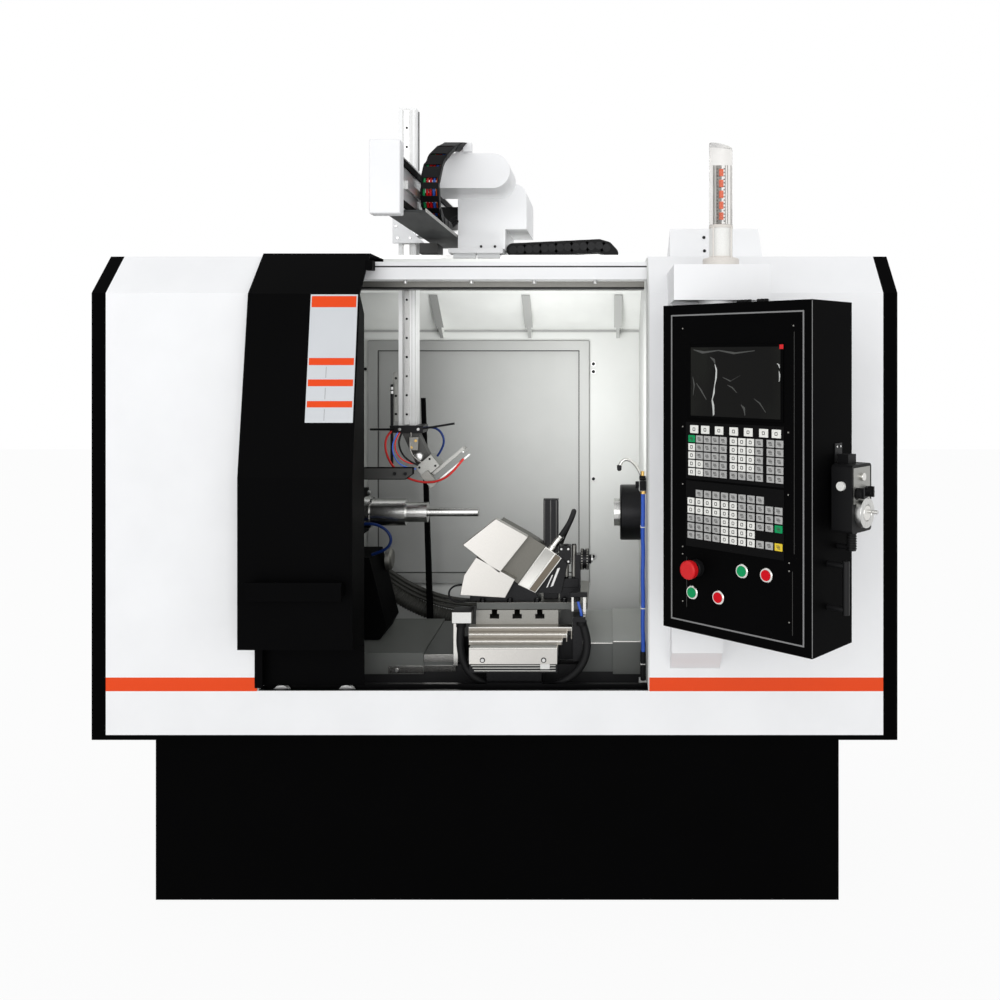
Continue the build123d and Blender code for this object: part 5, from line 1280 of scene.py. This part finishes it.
class LATHE_OT_lamp(bpy.types.Operator):
    """Build the signal lamp: foot, body, clear column and the small lights in it"""

    bl_idname = "lathe.lamp"
    bl_label = "Signal lamp"

    def execute(self, context):
        centre, radius, foot, top, slope = (533, -560), 27, 1639, 1814.5, 14
        bm = bmesh.new()
        lathe_turn(bm, "Z", centre, ((1551, radius), (1631, radius)))
        finish_piece("lamp_body", bm, "ivory", edge=0.5, stands_for=("signal_lamp",))
        bm = bmesh.new()
        lathe_turn(bm, "Z", centre, ((1631, 26), (1631, 27.6), (1637, 27.6), (1639, 26)))
        lathe_turn(bm, "Z", centre, ((1537, 42), (1559, 42), (1562, 40), (1563, 30), (1566, 28)))
        for x in (511, 552):
            box(bm, (x, x + 3), (-588.5, -586), (1551, 1632))
        finish_piece("lamp_foot", bm, "beige", edge=0.5)
        bm = bmesh.new()
        lathe_turn(bm, "Z", centre, ((foot, radius), (top, radius)))
        for vert in bm.verts:
            if vert.co.z > (foot + top) / 2 * MM:
                vert.co.z += slope * MM * (centre[0] + radius - vert.co.x / MM) / (2 * radius)
        finish_piece("lamp_column", bm, "lens", edge=0.5)
        height = (1641, 1776)
        boxes("lamp_board", [((524, 534), (-564, -562), height)], "grey_plate", edge=0.4)
        edges = [((x, x + 1.2), (-566, -562), height) for x in (518, 521, 540, 544, 551)]
        boxes("lamp_side_edges", edges, "grey_plate", edge=0.2)
        lights = [((529, 537), (-569, -564), (z, z + 17)) for z in range(1650, 1775, 25)]
        boxes("lamp_lights", lights, "lamp_orange", edge=0.6)
        parts = [((x, x + 2), (-565, -564), (z, z + 3)) for x in (525, 537.5) for z in range(1646, 1772, 8)]
        boxes("lamp_parts", parts, "dark_grey", edge=0)
        return {"FINISHED"}


class LATHE_OT_stage(bpy.types.Operator):
    """Set the floor, lights, world and the photograph's camera"""

    bl_idname = "lathe.stage"
    bl_label = "Stage"

    def execute(self, context):
        scene = context.scene
        scene.view_settings.view_transform = "Standard"
        self.floor(scene)
        self.world(scene)
        self.lights(scene)
        camera = bpy.data.cameras.new("Camera")
        camera.lens = 36
        camera.sensor_width = 36
        camera.shift_x = -0.107
        camera.shift_y = -0.14
        eye = bpy.data.objects.new("Camera", camera)
        eye.location = (0.270, -2.870, 1.328)
        eye.rotation_euler = (radians(90), 0, 0)
        scene.collection.objects.link(eye)
        scene.camera = eye
        return {"FINISHED"}

    def show_white(self, tree, lit, plain, strength, output):
        """Mix a lit surface with plain white, for rays that see the background."""
        path = add_node(tree, "LightPath", {}).outputs
        seen = path["Is Camera Ray"]
        for ray in ("Is Glossy Ray", "Is Transmission Ray"):
            seen = add_node(tree, "Math", {0: seen, 1: path[ray]}, operation="MAXIMUM").outputs["Value"]
        share = add_node(tree, "Math", {0: seen, 1: strength}, operation="MULTIPLY").outputs["Value"]
        mix = add_node(tree, "MixShader", {"Fac": share, 1: lit, 2: plain})
        fill(tree, tree.nodes[output], {"Surface": mix.outputs["Shader"]})

    def floor(self, scene):
        """Plain pale floor."""
        mesh = bpy.data.meshes.new("Floor")
        reach = 12
        corners = [(-reach, -reach, 0), (reach, -reach, 0), (reach, reach, 0), (-reach, reach, 0)]
        mesh.from_pydata(corners, [], [(0, 1, 2, 3)])
        floor = bpy.data.objects.new("Floor", mesh)
        scene.collection.objects.link(floor)
        material, tree, shader = new_material("Pale floor")
        fill(tree, shader, {"Base Color": (0.65, 0.65, 0.65, 1), "Roughness": 0.8})
        glow = add_node(tree, "Emission", {"Color": (1, 1, 1, 1)})
        self.show_white(tree, shader.outputs["BSDF"], glow.outputs["Emission"], 0.94, "Material Output")
        mesh.materials.append(material)

    def world(self, scene):
        """White surroundings that light the object softly."""
        world = bpy.data.worlds.new("Studio")
        scene.world = world
        world.use_nodes = True
        tree = world.node_tree
        soft = tree.nodes["Background"]
        fill(tree, soft, {"Color": (0.98, 0.985, 1.0, 1), "Strength": 0.815})
        plain = add_node(tree, "Background", {"Color": (1, 1, 1, 1)})
        self.show_white(tree, soft.outputs["Background"], plain.outputs["Background"], 1, "World Output")

    def lights(self, scene):
        """Large soft lamps in front and a small one in the chamber's mouth."""
        for name, spot, aim, size, power in (
            ("Key", (2.0, -9.4, 2.4), (0, 0, 1.2), 6.0, 238),
            ("Fill", (-3.0, -9.0, 1.6), (0, 0, 1.1), 6.0, 186),
            ("Chamber", (0.1, -0.366, 1.2), (0.1, 0.3, 1.2), 0.4, 2.85),
        ):
            lamp = bpy.data.lights.new(name, "AREA")
            lamp.size = size
            lamp.energy = power
            holder = bpy.data.objects.new(name, lamp)
            holder.location = spot
            holder.rotation_euler = (Vector(aim) - Vector(spot)).to_track_quat("-Z", "Y").to_euler()
            holder.visible_glossy = name != "Chamber"
            scene.collection.objects.link(holder)


class LATHE_PT_sidebar(bpy.types.Panel):
    """Sidebar with every step of the build"""

    bl_label = "Lathe"
    bl_idname = "LATHE_PT_sidebar"
    bl_space_type = "VIEW_3D"
    bl_region_type = "UI"
    bl_category = "Lathe"

    def draw(self, context):
        for step in steps:
            self.layout.operator(step.bl_idname)


steps = (
    LATHE_OT_enclosure,
    LATHE_OT_door,
    LATHE_OT_spindle,
    LATHE_OT_tool,
    LATHE_OT_loader,
    LATHE_OT_hoses,
    LATHE_OT_pendant,
    LATHE_OT_pulse_unit,
    LATHE_OT_lamp,
    LATHE_OT_stage,
)
classes = (LatheColours, LatheSizes, *steps, LATHE_PT_sidebar)


def register():
    """Make the classes and their settings known."""
    for entry in classes:
        bpy.utils.register_class(entry)
    bpy.types.Scene.lathe_colours = PointerProperty(type=LatheColours)
    bpy.types.Scene.lathe_sizes = PointerProperty(type=LatheSizes)


def unregister():
    """Take the classes and their settings away."""
    del bpy.types.Scene.lathe_colours
    del bpy.types.Scene.lathe_sizes
    for entry in reversed(classes):
        bpy.utils.unregister_class(entry)


def main():
    """Run every step in order."""
    register()
    bpy.ops.lathe.enclosure()
    bpy.ops.lathe.door()
    bpy.ops.lathe.spindle()
    bpy.ops.lathe.tool()
    bpy.ops.lathe.loader()
    bpy.ops.lathe.hoses()
    bpy.ops.lathe.pendant()
    bpy.ops.lathe.pulse_unit()
    bpy.ops.lathe.lamp()
    bpy.ops.lathe.stage()


if __name__ == "__main__":
    main()
